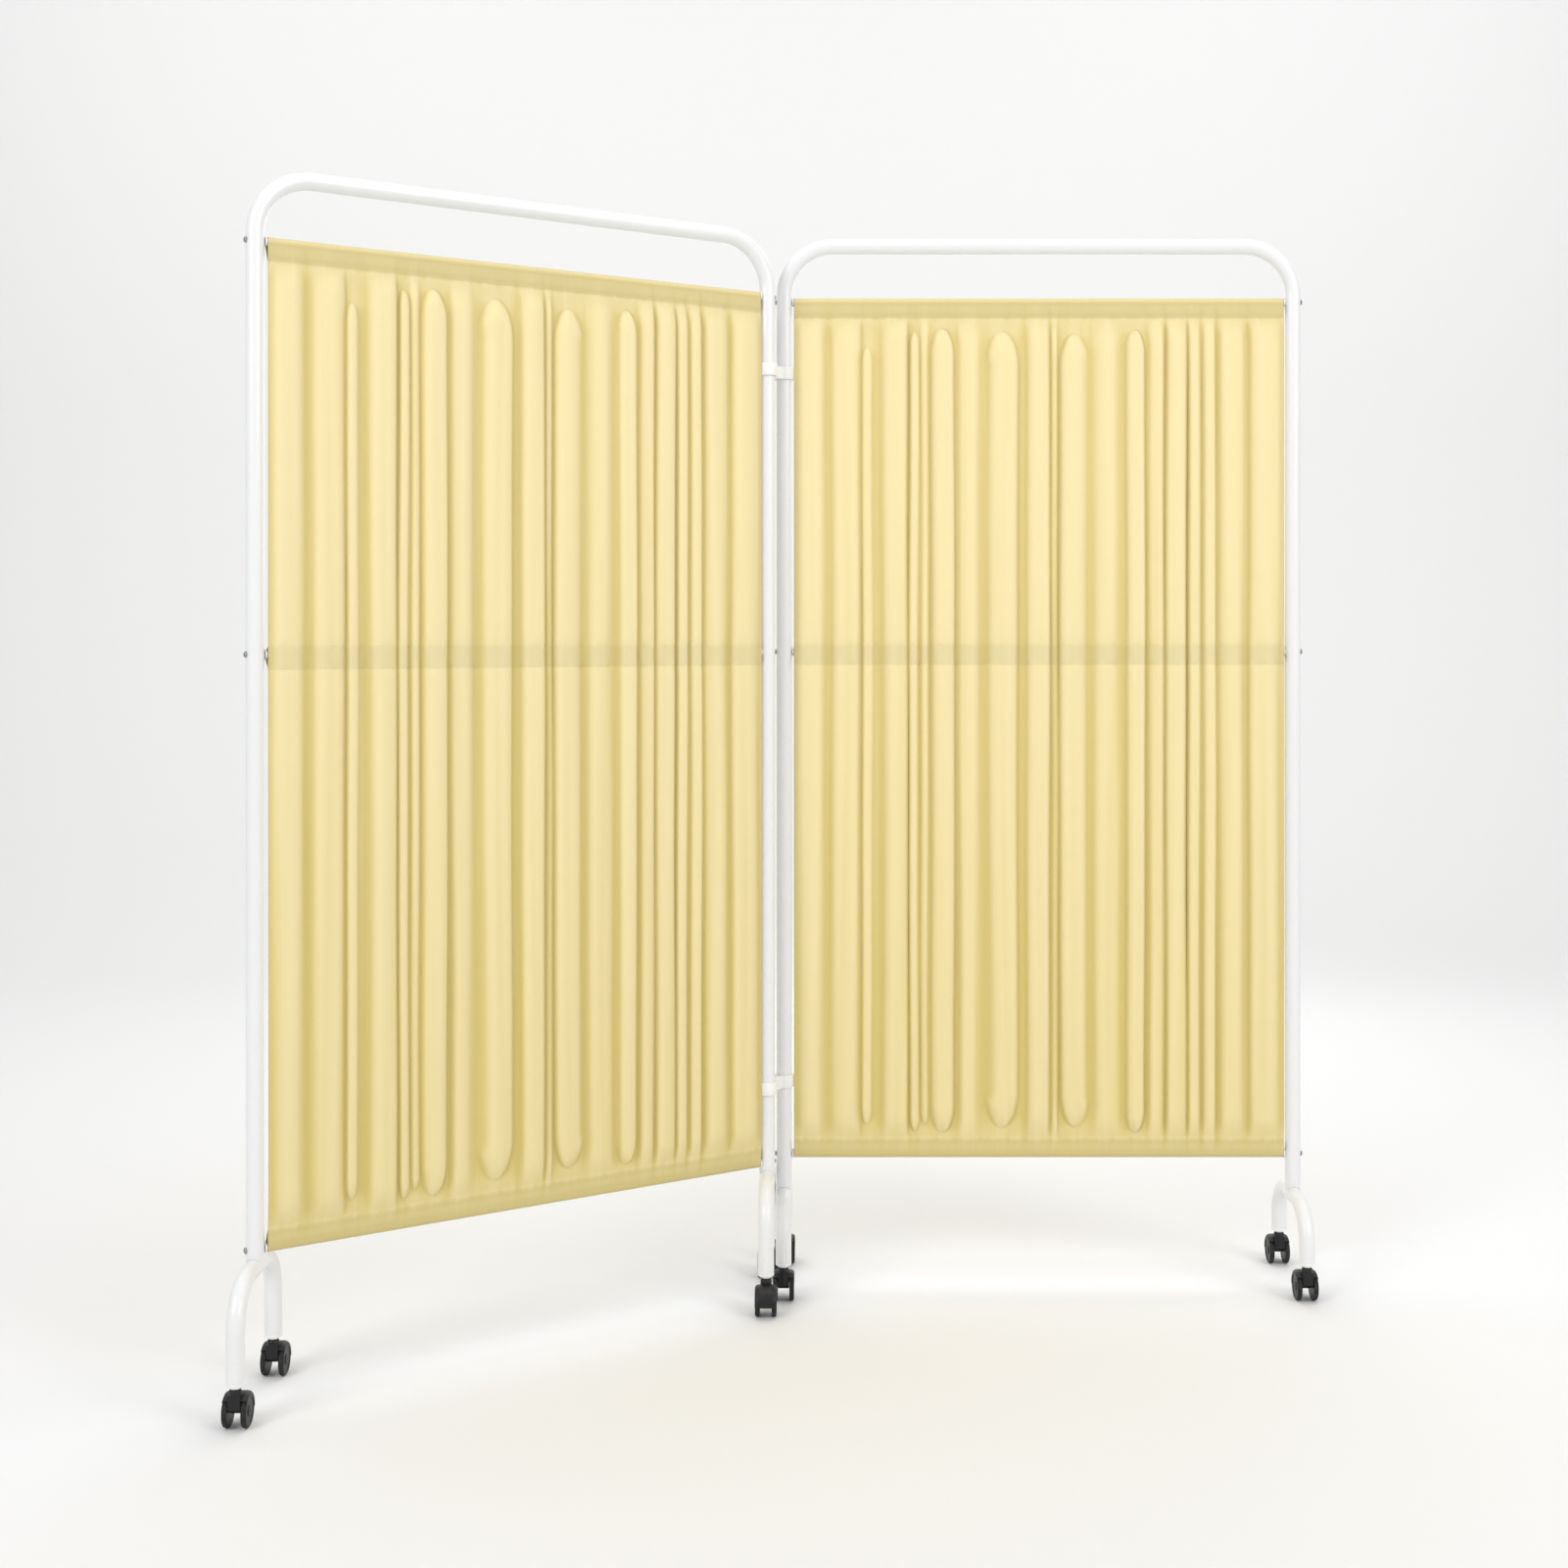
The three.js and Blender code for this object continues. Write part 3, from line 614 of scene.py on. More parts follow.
class WARD_SCREEN_OT_rods(bpy.types.Operator):
    """Turns the curtain rods with their end collars, and the screws that hold them"""

    bl_idname = "ward_screen.rods"
    bl_label = "Rods and screws"

    radius = 5 * MM
    collar_radius = 7 * MM
    collar = 2.8 * MM
    rounding = 0.8 * MM
    shank = 2 * MM
    shank_length = 30 * MM
    head = 4.4 * MM
    rise = 2.7 * MM
    head_steps = 9
    recess_half = 0.5 * MM
    recess_reach = 2.2 * MM
    recess_depth = 1.2 * MM

    def execute(self, context):
        paint = material("white powder coat", powder_coat, tuple(context.scene.screen_tubes.paint))
        steel = material("plated screw steel", plated_steel)
        reach = context.scene.screen_tubes.radius + FIT
        for panel in PANELS:
            for rod in RODS:
                low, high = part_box(f"{panel.name}_{rod}_rod")
                height = (low.z + high.z) / 2
                self.rod(panel, rod, height, reach, paint)
                for place in ("inner", "outer"):
                    self.screw(panel, rod, place, height, reach, steel)
        return {"FINISHED"}

    def rod(self, panel, rod, height, reach, paint):
        """A curtain rod with a collar at each end."""
        length = panel.width - 2 * reach
        half = [
            (0, 0), (self.collar_radius, 0),
            (self.collar_radius, self.collar), (self.radius, self.collar),
        ]
        profile = rounded([*half, *((r, length - d) for r, d in reversed(half))], self.rounding)
        form = Form()
        form.add(*turned(profile, panel.point(reach, 0, height), panel.across, 32))
        name = f"{panel.name}_{rod}"
        form.piece(f"{name}_rod_tube", paint, panel.body, [f"{name}_rod"])

    def screw(self, panel, rod, place, height, reach, steel):
        """A screw through a post into a rod's end, its domed head pressed with a cross recess."""
        post = POSTS[f"{panel.name}_{place}"]
        outward = panel.across if (post - panel.start).length > panel.width / 2 else -panel.across
        seat = post + outward * reach + UP * height
        lift = 0.05 * MM
        tip = -self.shank_length
        profile = [(0, tip), (self.shank, tip + 0.5 * MM), (self.shank, lift), (self.head, lift)]
        for step in range(1, self.head_steps):
            angle = QUARTER * step / self.head_steps
            profile.append((self.head * math.cos(angle) ** 0.6, self.rise * math.sin(angle)))
        for share in (0.9, 0.75, 0.6, 0.45, 0.3, 0.15, 0):
            profile.append((self.head * 0.4 * share, self.rise))
        points, faces = turned(profile, seat, outward, 48)
        first = outward.orthogonal().normalized()
        second = outward.cross(first)
        fade = self.recess_reach + 1 * MM
        for point in points:
            offset = point - seat
            if offset.dot(outward) < self.rise * 0.7:
                continue
            near, far = sorted((abs(offset.dot(first)), abs(offset.dot(second))))
            if near < self.recess_half and far < self.recess_reach:
                point -= outward * (self.recess_depth * (1 - far / fade))
        form = Form()
        form.add(points, faces)
        name = f"{panel.name}_{rod}_{place}_screw"
        form.piece(f"{name}_head", steel, panel.body, [name], sharp=30)


class WARD_SCREEN_OT_clips(bpy.types.Operator):
    """Moulds the hinge clips that join the two middle posts"""

    bl_idname = "ward_screen.clips"
    bl_label = "Hinge clips"

    rim = 16.2 * MM
    clamped_bore = 12.9 * MM
    turning_bore = 13.1 * MM
    edge = 0.9 * MM
    chamfer = 0.3 * MM
    waist = 4.4 * MM
    flare = 1.4 * MM
    web_steps = 10

    def execute(self, context):
        plastic = material("white moulded plastic", moulded_white)
        left, right = POSTS["left_inner"], POSTS["right_inner"]
        for name in ("lower_hinge_clip", "upper_hinge_clip"):
            low, high = (corner.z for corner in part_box(name))
            form = Form()
            for post, bore in ((left, self.clamped_bore), (right, self.turning_bore)):
                form.add(*self.ring(post + UP * low, bore, high - low))
            form.add(*self.web(left, right, low, high))
            form.piece(f"{name}_moulding", plastic, "left_panel", [name], sharp=35)
        return {"FINISHED"}

    def ring(self, base, bore, height):
        """One of a clip's rings, with its edges rounded."""
        half = [
            (bore, self.chamfer), (bore + self.chamfer, 0), (self.rim - self.edge, 0),
            (self.rim - self.edge * 0.3, self.edge * 0.3), (self.rim, self.edge),
        ]
        profile = [*half, *((radius, height - rise) for radius, rise in reversed(half))]
        return turned_ring(profile, base, UP, 48)

    def web(self, left, right, low, high):
        """The waisted web between the rings."""
        along = (right - left).normalized()
        aside = UP.cross(along)
        overlap = 1.2 * MM
        start = self.rim - overlap
        end = (right - left).length - start
        middle = (start + end) / 2
        points = []
        for step in range(self.web_steps + 1):
            distance = start + (end - start) * step / self.web_steps
            half = self.waist + self.flare * ((distance - middle) / (end - middle)) ** 4
            ring = rounded_rectangle(half, (high - low) / 2 - 0.4 * MM, overlap)
            centre = left + along * distance + UP * ((low + high) / 2)
            points.extend(centre + aside * sideways + UP * upward for sideways, upward in ring)
        return points, rings_faces(self.web_steps + 1, len(ring))


def rounded_rectangle(half_width, half_height, radius, steps=4):
    """Corner-rounded outline, anticlockwise."""
    outline = []
    for corner, (sx, sy) in enumerate(((1, 1), (-1, 1), (-1, -1), (1, -1))):
        for step in range(steps + 1):
            angle = QUARTER * (corner + step / steps)
            x = sx * (half_width - radius) + radius * math.cos(angle)
            outline.append((x, sy * (half_height - radius) + radius * math.sin(angle)))
    return outline


# Curtains

# Each fold: where it starts and ends from the left edge, its height, the gap that its round end
# leaves under the top seam and over the bottom seam, or zero where it runs to the seam, and how
# sharply its left and right sides fall. Lengths are millimetres on a cloth of the drawn width.
FOLDS = (
    (2, 56, 8, 0, 0, 0.2, 0.1),
    (56, 111, 8, 0, 0, 0.1, 0.7),
    (111, 130, 6, 46, 24, 0.8, 0.3),
    (140, 188, 9, 0, 0, 0.0, 1.0),
    (189, 206, 7, 20, 13, 0.9, 0.4),
    (207, 223, 5, 0, 24, 0.3, 0.3),
    (223, 265, 10, 16, 11, 0.5, 0.9),
    (266, 309, 6, 0, 0, 0.3, 0.0),
    (312, 369, 10, 21, 19, 0.0, 0.8),
    (378, 421, 9, 0, 0, 0.2, 0.9),
    (422, 434, 4, 0, 0, 0.5, 0.7),
    (435, 486, 10, 25, 20, 0.9, 0.1),
    (486, 543, 6, 0, 0, 0.2, 0.1),
    (543, 577, 10, 18, 11, 0.3, 1.0),
    (578, 609, 6, 0, 0, 0.3, 0.9),
    (609, 645, 9, 0, 0, 0.9, 1.0),
    (646, 669, 8, 0, 0, 0.9, 0.3),
    (669, 694, 8, 0, 0, 0.3, 0.6),
    (694, 745, 8, 0, 0, 0.6, 0.2),
    (745, 802, 9, 0, 0, 0.7, 0.2),
)
FOLDS_DRAWN_WIDTH = 805

# Heights of the seams, in millimetres
TOP_SEAM = 1569
BAND_TOP = 1039
BAND_BOTTOM = 1007
BOTTOM_SEAM = 236
SEAMS = (TOP_SEAM, BAND_TOP, BAND_BOTTOM, BOTTOM_SEAM)


def smooth(values):
    """Smoothstep of values already between zero and one."""
    clipped = np.clip(values, 0, 1)
    return clipped * clipped * (3 - 2 * clipped)


def seam_rooms(height, top_gap, bottom_gap):
    """The distance from the top and the bottom seam, each with the gap that a fold leaves there."""
    return (TOP_SEAM - height, top_gap), (height - BOTTOM_SEAM, bottom_gap)


def fold_reach(fold, order, across, height):
    """How far a place is from a fold's ridge, one at its foot, and how sharp that side is."""
    start, end, _, top_gap, bottom_gap, left_sharp, right_sharp = fold
    half = (end - start) / 2
    wander = 0.8 * np.sin(height / 210 + 1.7 * order) + 0.4 * np.sin(height / 83 + order)
    side = across - (start + end) / 2 - wander
    tip_length = 1.6 * half + 14
    tip = np.zeros_like(side)
    for room, gap in seam_rooms(height, top_gap, bottom_gap):
        if gap:
            tip = np.maximum(tip, 1 - (room - gap) / tip_length)
    sharp = np.where(side < 0, left_sharp, right_sharp)
    return np.hypot(side / half, tip), np.maximum(sharp, 0.55 * smooth(tip * 2.5))


def fold_height(across, height):
    """How far the cloth stands forward, in millimetres, over places across it and heights."""
    total = np.zeros(np.broadcast(across, height).shape)
    for order, fold in enumerate(FOLDS):
        crest, top_gap, bottom_gap = fold[2:5]
        reach, sharp = fold_reach(fold, order, across, height)
        swell = np.ones_like(total)
        for room, gap in seam_rooms(height, top_gap, bottom_gap):
            if not gap:
                swell = np.minimum(swell, 0.22 + 0.78 * smooth(room / 34))
        inside = np.clip(1 - np.clip(reach, 0, 1) ** (2 + 3 * sharp), 0, 1)
        total = np.maximum(total, crest * swell * inside ** (1.8 - 0.9 * sharp))
    # The flat cloth between the folds has broad waves and fine wrinkles, held in at its seams
    held = 0.3 + 0.7 * smooth((TOP_SEAM - height) / 50) * smooth((height - BOTTOM_SEAM) / 50)
    broad = 0.7 * np.sin(across / 61 + height / 400) + 0.5 * np.sin(across / 27 - height / 520)
    fine = 0.5 * np.sin(across / 4.7 + 1.6 * np.sin(height / 260 + across / 90))
    drift = 1.7 + broad + fine
    band = smooth(1 - np.abs(height - (BAND_TOP + BAND_BOTTOM) / 2) / 34)
    return (total + drift * held) * (1 - 0.12 * band)


def hollow_shade_tone(out):
    """Painted light and shade from how far each place stands above or below the cloth beside it:
    near zero, lit, on crests, one, shaded, in valleys.
    """
    relief = np.zeros_like(out)
    count = out.shape[1]
    for reach, share in ((11, 0.65), (4, 0.35)):
        padded = np.pad(out, ((0, 0), (reach, reach)), mode="edge")
        window = 2 * reach + 1
        around = sum(padded[:, step : step + count] for step in range(window)) / window
        relief = relief + (out - around) * share
    return smooth(0.42 - relief / 5.2)


def crease_shade_mark(across, height):
    """How much painted shade lies along the pressed foot of a fold: one on the fold's foot, zero
    away from it.
    """
    mark = np.zeros(np.broadcast(across, height).shape)
    step = 0.2
    for order, fold in enumerate(FOLDS):
        reach, sharp = fold_reach(fold, order, across, height)
        beside = fold_reach(fold, order, across + step, height)[0] - reach
        above = fold_reach(fold, order, across, height + step)[0] - reach
        slope = np.hypot(beside, above) / step
        distance = np.abs(reach - 1) / np.maximum(slope, 0.004)
        pressed = np.clip(1.6 * sharp - 0.5, 0, 1)
        mark = np.maximum(mark, pressed * np.exp(-((distance / 1.9) ** 2)))
    return mark * smooth((TOP_SEAM - height) / 14) * smooth((height - BOTTOM_SEAM) / 14)


def cloth_rows(casing, top_rod, bottom_rod):
    """The cloth's path from its top hem's tail, over the top rod, down and round the bottom rod.

    Each row: height, forward place, and how far the folds act there."""

    def tail(seam, end, shares):
        """A hem's tail, from its seam towards the back of the rod."""
        return [(seam + t * (end - seam), casing - 0.9 - t * (2 * casing - 0.7), 0) for t in shares]

    def bend(rod, start, end):
        """The cloth round a rod, between two angles in degrees."""
        angles = np.linspace(math.radians(start), math.radians(end), 13)
        return [(rod + casing * math.sin(a), casing * math.cos(a), 0) for a in angles]

    def front(rod, seam, shares):
        """The front of a hem, where the folds fade out."""
        return [(rod + t * (seam - rod), casing, t) for t in shares]

    heights = np.concatenate(
        [
            np.arange(TOP_SEAM, TOP_SEAM - 100, -2.6),
            np.linspace(TOP_SEAM - 101, BAND_TOP + 14, 22),
            np.linspace(BAND_TOP + 9, BAND_BOTTOM - 9, 19),
            np.linspace(BAND_BOTTOM - 16, BOTTOM_SEAM + 101, 32),
            np.arange(BOTTOM_SEAM + 98, BOTTOM_SEAM - 1, -2.8),
        ]
    )
    return [
        *tail(TOP_SEAM, top_rod - 3, np.linspace(0, 0.92, 5)),
        *bend(top_rod, 200, 0),
        *front(top_rod, TOP_SEAM, np.linspace(0.12, 0.9, 7)),
        *((height, casing, 1) for height in heights),
        *front(bottom_rod, BOTTOM_SEAM, np.linspace(0.9, 0.12, 6)),
        *bend(bottom_rod, 0, -200),
        *tail(BOTTOM_SEAM, bottom_rod + 3, np.linspace(0.92, 0, 5)),
    ]


def double_cloth_shade_tone(height):
    """Painted shade where the cloth is double, in its hems and its middle band over the middle rod,
    with painted shade lines along the seams and edges and painted highlights near the top edge and
    over the bottom seam.
    """
    above = height - TOP_SEAM
    below = BOTTOM_SEAM - height
    # Top hem: a painted highlight band where the cloth turns over the rod, painted shade beyond it;
    # bottom hem: painted shade growing towards its lower edge
    roll = 1.4 * smooth((above - 32.5) / 1.5) - 0.8 * smooth((above - 26) / 3)
    top = smooth(above / 2) * (0.9 + roll)
    roll = 0.4 * smooth((below - 13) / 8) + 0.8 * smooth((below - 23) / 5)
    low = smooth(below / 2) * (0.2 + roll)
    band = 0.3 * smooth((height - BAND_BOTTOM + 1) / 2) * smooth((BAND_TOP + 1 - height) / 2)
    # Painted shade lines under the top hem, on the top hem near its seam, high on the top hem and
    # just under the bottom seam, and a painted highlight just over it: which way each is measured,
    # its middle and spread in millimetres, and its depth
    lines = sum(
        depth * np.exp(-(((distance - middle) / spread) ** 2))
        for distance, middle, spread, depth in (
            (above, -10, 20, 0.25), (above, 5.5, 3.8, 0.8), (above, 24, 2, 0.5),
            (below, 4.5, 2, 0.5), (below, -3, 2, -0.3),
        )
    )
    return np.maximum(np.maximum(top, low), band) + lines


def hem_ripple(across, height):
    """The small puckers that sewing leaves along a seam."""
    ripple = np.zeros(np.broadcast(across, height).shape)
    for seam in SEAMS:
        near = np.exp(-(((height - seam) / 5.0) ** 2))
        short = 0.25 * np.sin(across / 2.3 + seam)
        long = 0.35 * np.sin(across / 5.6 + np.sin(across / 31))
        ripple = ripple + near * (short + long - 0.5)
    return ripple


class WARD_SCREEN_OT_curtains(bpy.types.Operator):
    """Hangs a folded curtain on each panel's rods, with hems, a middle channel and stitches"""

    bl_idname = "ward_screen.curtains"
    bl_label = "Curtains"

    flat_size = (0.885, 1.488)
    channel_column = 4

    def execute(self, context):
        look = context.scene.screen_curtains
        cloth = material("cream curtain cloth", curtain_cloth, look)
        thread = material("sewing thread", sewing_thread, tuple(look.thread))
        for panel in PANELS:
            sheet = self.sheet(panel, look, cloth)
            channel = self.channel(panel, look, cloth)
            stitches = self.stitches(panel, look, thread)
        return {"FINISHED"}

    def grid(self, panel, look, places, rows, ripple=True):
        """Points of a sheet from its columns and rows, with its folds and its shading values."""
        rows = np.array(rows, dtype=float)
        across = np.broadcast_to(places, (len(rows), len(places)))
        drawn = across * (FOLDS_DRAWN_WIDTH / places[-1])
        columns = (np.broadcast_to(column[:, None], across.shape) for column in rows.T)
        height, forward, share = columns
        out = fold_height(drawn, height) + (hem_ripple(drawn, height) if ripple else 0)
        stand = forward + out * share
        values = {
            "hollow": hollow_shade_tone(out) * share + 0.45 * (1 - share),
            "doubled": double_cloth_shade_tone(height),
            "crease": crease_shade_mark(drawn, height) * share,
        }
        places_mm = np.stack([across, stand, height], axis=-1).reshape(-1, 3)
        points = [panel.point(look.edge + x * MM, y * MM, z * MM) for x, y, z in places_mm]
        flat = np.stack([across, height], axis=-1).reshape(-1, 2) * MM
        return points, {key: value.ravel() for key, value in values.items()}, flat

    def add_sheet(self, name, panel, look, places, rows, cloth, nodes, ripple=True):
        """Makes a cloth piece with its thickness, its map and its shading values."""
        points, values, flat = self.grid(panel, look, places, rows, ripple)
        columns = len(places)
        rows = len(points) // columns
        faces = []
        for row in range(rows - 1):
            for column in range(columns - 1):
                corner = row * columns + column
                faces.append((corner, corner + columns, corner + columns + 1, corner + 1))
        form = Form()
        form.add(points, faces)
        form.values = values
        made = form.piece(name, cloth, panel.body, nodes, sharp=180)
        layer = made.data.uv_layers.new(name="flat")
        corners = np.empty(len(made.data.loops), dtype=np.int32)
        made.data.loops.foreach_get("vertex_index", corners)
        layer.data.foreach_set("uv", flat[corners].ravel())
        skin = made.modifiers.new("thickness", "SOLIDIFY")
        skin.thickness = look.thickness
        skin.offset = 0
        return made

    def sheet(self, panel, look, cloth):
        """The curtain itself, in one sheet from hem to hem."""
        width = self.width(panel, look)
        places = np.linspace(0, width, int(width / (look.column / MM)))
        rods = (self.rod_height(panel, rod) for rod in ("top", "bottom"))
        rows = cloth_rows(look.casing / MM, *rods)
        name = f"{panel.name}_curtain"
        return self.add_sheet(f"{name}_cloth", panel, look, places, rows, cloth, [name])

    def width(self, panel, look):
        """The hanging cloth's width, in millimetres."""
        return (panel.width - 2 * look.edge) / MM

    def rod_height(self, panel, rod):
        """A rod's height, in millimetres."""
        low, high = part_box(f"{panel.name}_{rod}_rod")
        return (low.z + high.z) / 2 / MM

    def channel(self, panel, look, cloth):
        """The strip sewn behind the cloth that holds the middle rod."""
        casing = look.casing / MM
        rod = self.rod_height(panel, "middle")
        width = self.width(panel, look)
        places = np.linspace(0, width, int(width / self.channel_column))

        def slope(seam, end, shares):
            """Rows from a seam to the back of the rod."""
            heights = seam + shares * (end - seam)
            backs = smooth(shares)
            return zip(heights, casing - 1 - backs * (2 * casing - 1), 1 - backs)

        angles = np.linspace(math.radians(160), math.radians(200), 5)
        rows = [
            *slope(BAND_TOP, rod + 3, np.linspace(0, 1, 7)),
            *((rod + casing * math.sin(a), casing * math.cos(a), 0) for a in angles),
            *slope(BAND_BOTTOM, rod - 3, np.linspace(1, 0, 7)),
        ]
        name = f"{panel.name}_curtain_channel"
        return self.add_sheet(name, panel, look, places, rows, cloth, [], ripple=False)

    def stitches(self, panel, look, thread):
        """Rows of short stitches along every seam, lying on the cloth's face."""
        form = Form()
        width = self.width(panel, look)
        pitch = look.stitch / MM
        casing = look.casing / MM
        reach = pitch * 0.34
        for seam in SEAMS:
            for place in np.arange(3, width - 3, pitch):
                ends = np.array([place - reach, place, place + reach])
                heights = np.full(3, seam + 0.8)
                drawn = ends * (FOLDS_DRAWN_WIDTH / width)
                out = fold_height(drawn, heights) + hem_ripple(drawn, heights) + casing + 0.3
                points = (
                    panel.point(look.edge + x * MM, y * MM, heights[0] * MM)
                    for x, y in zip(ends, out)
                )
                self.stitch(form, panel, *points)
        name = f"{panel.name}_curtain_stitches"
        return form.piece(name, thread, panel.body, sharp=180)

    def stitch(self, form, panel, start, middle, end):
        """One stitch, thick in the middle and pointed where it enters the cloth."""
        rise = panel.forward * (0.3 * MM)
        half = UP * (0.33 * MM)
        points = [start, middle + half, middle + rise, middle - half, middle - rise, end]
        faces = [
            (0, 2, 1), (0, 3, 2), (0, 4, 3), (0, 1, 4),
            (5, 1, 2), (5, 2, 3), (5, 3, 4), (5, 4, 1),
        ]
        form.add(points, faces)


# Castors


class WARD_SCREEN_OT_castors(bpy.types.Operator):
    """Moulds the castors: leg cap and stem, hood, and the two wheels on their axle"""

    bl_idname = "ward_screen.castors"
    bl_label = "Castors"

    gap = 0.45 * MM  # between a wheel and what it runs beside
    pin = 4 * MM
    pin_collar = 7.5 * MM
    pin_collar_height = 2.8 * MM
    cap = 12.5 * MM
    cap_height = 5 * MM
    cap_drop = 5.3 * MM
    plug = 10 * MM
    boss_base = 28 * MM
    boss_bore = 4.6 * MM
    bore_depth = 4 * MM
    guard_wall = 2.2 * MM
    guard_edge = 4.2 * MM
    core_top = 48 * MM
    axle_boss = 3.6 * MM
    axle_pin = 2 * MM
    tread_bevel = 1.2 * MM
    hub_inner = 7 * MM
    hub_outer = 8.2 * MM

    def execute(self, context):
        sizes = context.scene.screen_castors
        black = tuple(sizes.black)
        white = material("white moulded plastic", moulded_white)
        moulded = material("black moulded plastic", moulded_black, black)
        tread = material("castor wheel plastic", wheel_plastic, black, sizes.wheel)
        for foot in FEET:
            for end in ENDS:
                castor = f"{foot}_{end}_castor"
                self.stem(castor, foot, white)
                self.hood(castor, sizes, moulded)
                for side in ("left", "right"):
                    self.wheel(castor, side, sizes, tread)
        return {"FINISHED"}

    def axle(self, castor):
        """The middle of a castor's axle."""
        return joint_place(f"{castor}_wheel_roll")

    def wheel_width(self, castor):
        """How wide one wheel is."""
        low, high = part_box(f"{castor}_right_wheel")
        return high.x - low.x

    def trail(self, castor):
        """The direction in which the wheels trail the swivel axis."""
        away = self.axle(castor) - castor_place(castor)
        away.z = 0
        return away

    def stem(self, castor, foot, finish):
        """The castor's pin and the white cap and plug that hold it in the leg."""
        low, high = (corner.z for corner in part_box(f"{castor}_stem"))
        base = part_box(f"{foot}_foot")[0].z - self.cap_drop
        top = base + self.cap_height
        shoulder = base - self.pin_collar_height
        profile = [
            (0, low), (self.pin, low), (self.pin, shoulder),
            (self.pin_collar, shoulder), (self.pin_collar, base),
            (self.cap - 1.2 * MM, base), (self.cap - 0.3 * MM, base + 0.4 * MM),
            (self.cap, base + 1.2 * MM), (self.cap, top - 0.6 * MM), (self.cap - 0.4 * MM, top),
            (self.plug, top), (self.plug, high), (0, high),
        ]
        form = Form()
        form.add(*turned(profile, castor_place(castor), UP, 40))
        body = f"{foot.split('_')[0]}_panel"
        form.piece(f"{castor}_leg_cap", finish, body, [f"{castor}_stem"], sharp=30)

    def hood(self, castor, sizes, finish):
        """The guard over the wheels, the boss round the pin and the web between them."""
        low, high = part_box(f"{castor}_hood")
        centre = castor_place(castor)
        trail = self.trail(castor)
        back = trail.normalized()
        aside = back.cross(UP)
        half = (high.x - low.x) / 2
        axle = centre + trail + UP * sizes.wheel
        form = Form()
        form.add(*self.fender(sizes, axle, back, aside, half))
        top = high.z
        boss = sizes.boss
        floor = top - self.bore_depth
        profile = [
            (0, self.boss_base), (boss - 1 * MM, self.boss_base), (boss, self.boss_base + 1 * MM),
            (boss, top - 6 * MM), (boss * 0.97, top - 4 * MM), (boss * 0.9, top - 2.2 * MM),
            (boss * 0.8, top - 0.8 * MM), (boss * 0.68, top - 0.1 * MM), (boss * 0.6, top),
            (self.boss_bore, top - 0.4 * MM), (self.boss_bore, floor), (0, floor),
        ]
        form.add(*turned(profile, centre, UP, 40))
        core_half = half - self.wheel_width(castor) - 2 * self.gap
        form.add(*self.core(sizes, centre, trail, back, aside, core_half))
        name = f"{castor}_hood"
        form.piece(f"{name}_moulding", finish, f"{castor}_swivel", [name])

    def fender(self, sizes, axle, back, aside, half):
        """The guard over both wheels, rounded off towards its sides, as one closed skin."""
        angles = np.linspace(math.radians(-5), math.radians(133), 33)
        side = np.linspace(0.62, 1, 8)
        places = np.concatenate([-side[::-1], np.linspace(-0.5, 0.5, 5), side])
        points = []
        count = len(places)
        for inset, reach in ((0, half), (self.guard_wall, half - 0.25 * MM)):
            for angle in angles:
                ray = back * math.cos(angle) + UP * math.sin(angle)
                for place in places:
                    x = place * reach
                    t = max(abs(x) - (half - sizes.shoulder), 0) / sizes.shoulder
                    drop = self.guard_edge * (1 - math.sqrt(max(1 - t * t, 0)))
                    points.append(axle + ray * (sizes.fender - drop - inset) + aside * x)
        layer_size = len(angles) * count
        faces = []
        for row in range(len(angles) - 1):
            for column in range(count - 1):
                a = row * count + column
                faces.append((a, a + 1, a + count + 1, a + count))
                b = a + layer_size
                faces.append((b + count, b + count + 1, b + 1, b))
            for column in (0, count - 1):
                a = row * count + column
                quad = (a, a + count, a + count + layer_size, a + layer_size)
                faces.append(quad if column == 0 else tuple(reversed(quad)))
        for row in (0, len(angles) - 1):
            for column in range(count - 1):
                a = row * count + column
                quad = (a, a + layer_size, a + 1 + layer_size, a + 1)
                faces.append(quad if row == 0 else tuple(reversed(quad)))
        return points, faces

    def core(self, sizes, centre, trail, back, aside, half):
        """The web between the wheels, from the swivel boss to the narrow axle boss."""
        run = trail.length

        def arc(radius, start, end, count):
            """Points of the outline at one distance from the axle."""
            angles = np.linspace(start, end, count)
            return zip(run + radius * np.cos(angles), sizes.wheel + radius * np.sin(angles))

        front = -sizes.boss * 0.94
        bevel = 0.6 * MM
        outline = [
            *arc(sizes.fender - 1 * MM, -0.05, 2.2, 18),
            (front, self.core_top),
            (front, self.boss_base + bevel),
            (front + bevel, self.boss_base),
            (run - self.axle_boss, self.boss_base),
            *arc(self.axle_boss, math.pi, 2 * math.pi, 13),
        ]
        middle = (run * 0.7, sizes.wheel * 1.5)
        points = []
        for side, shrink in ((-1, 0.97), (-0.94, 1), (0.94, 1), (1, 0.97)):
            for along, height in outline:
                out = middle[0] + (along - middle[0]) * shrink
                up = middle[1] + (height - middle[1]) * shrink
                points.append(centre + back * out + UP * up + aside * (side * half))
        return points, rings_faces(4, len(outline))

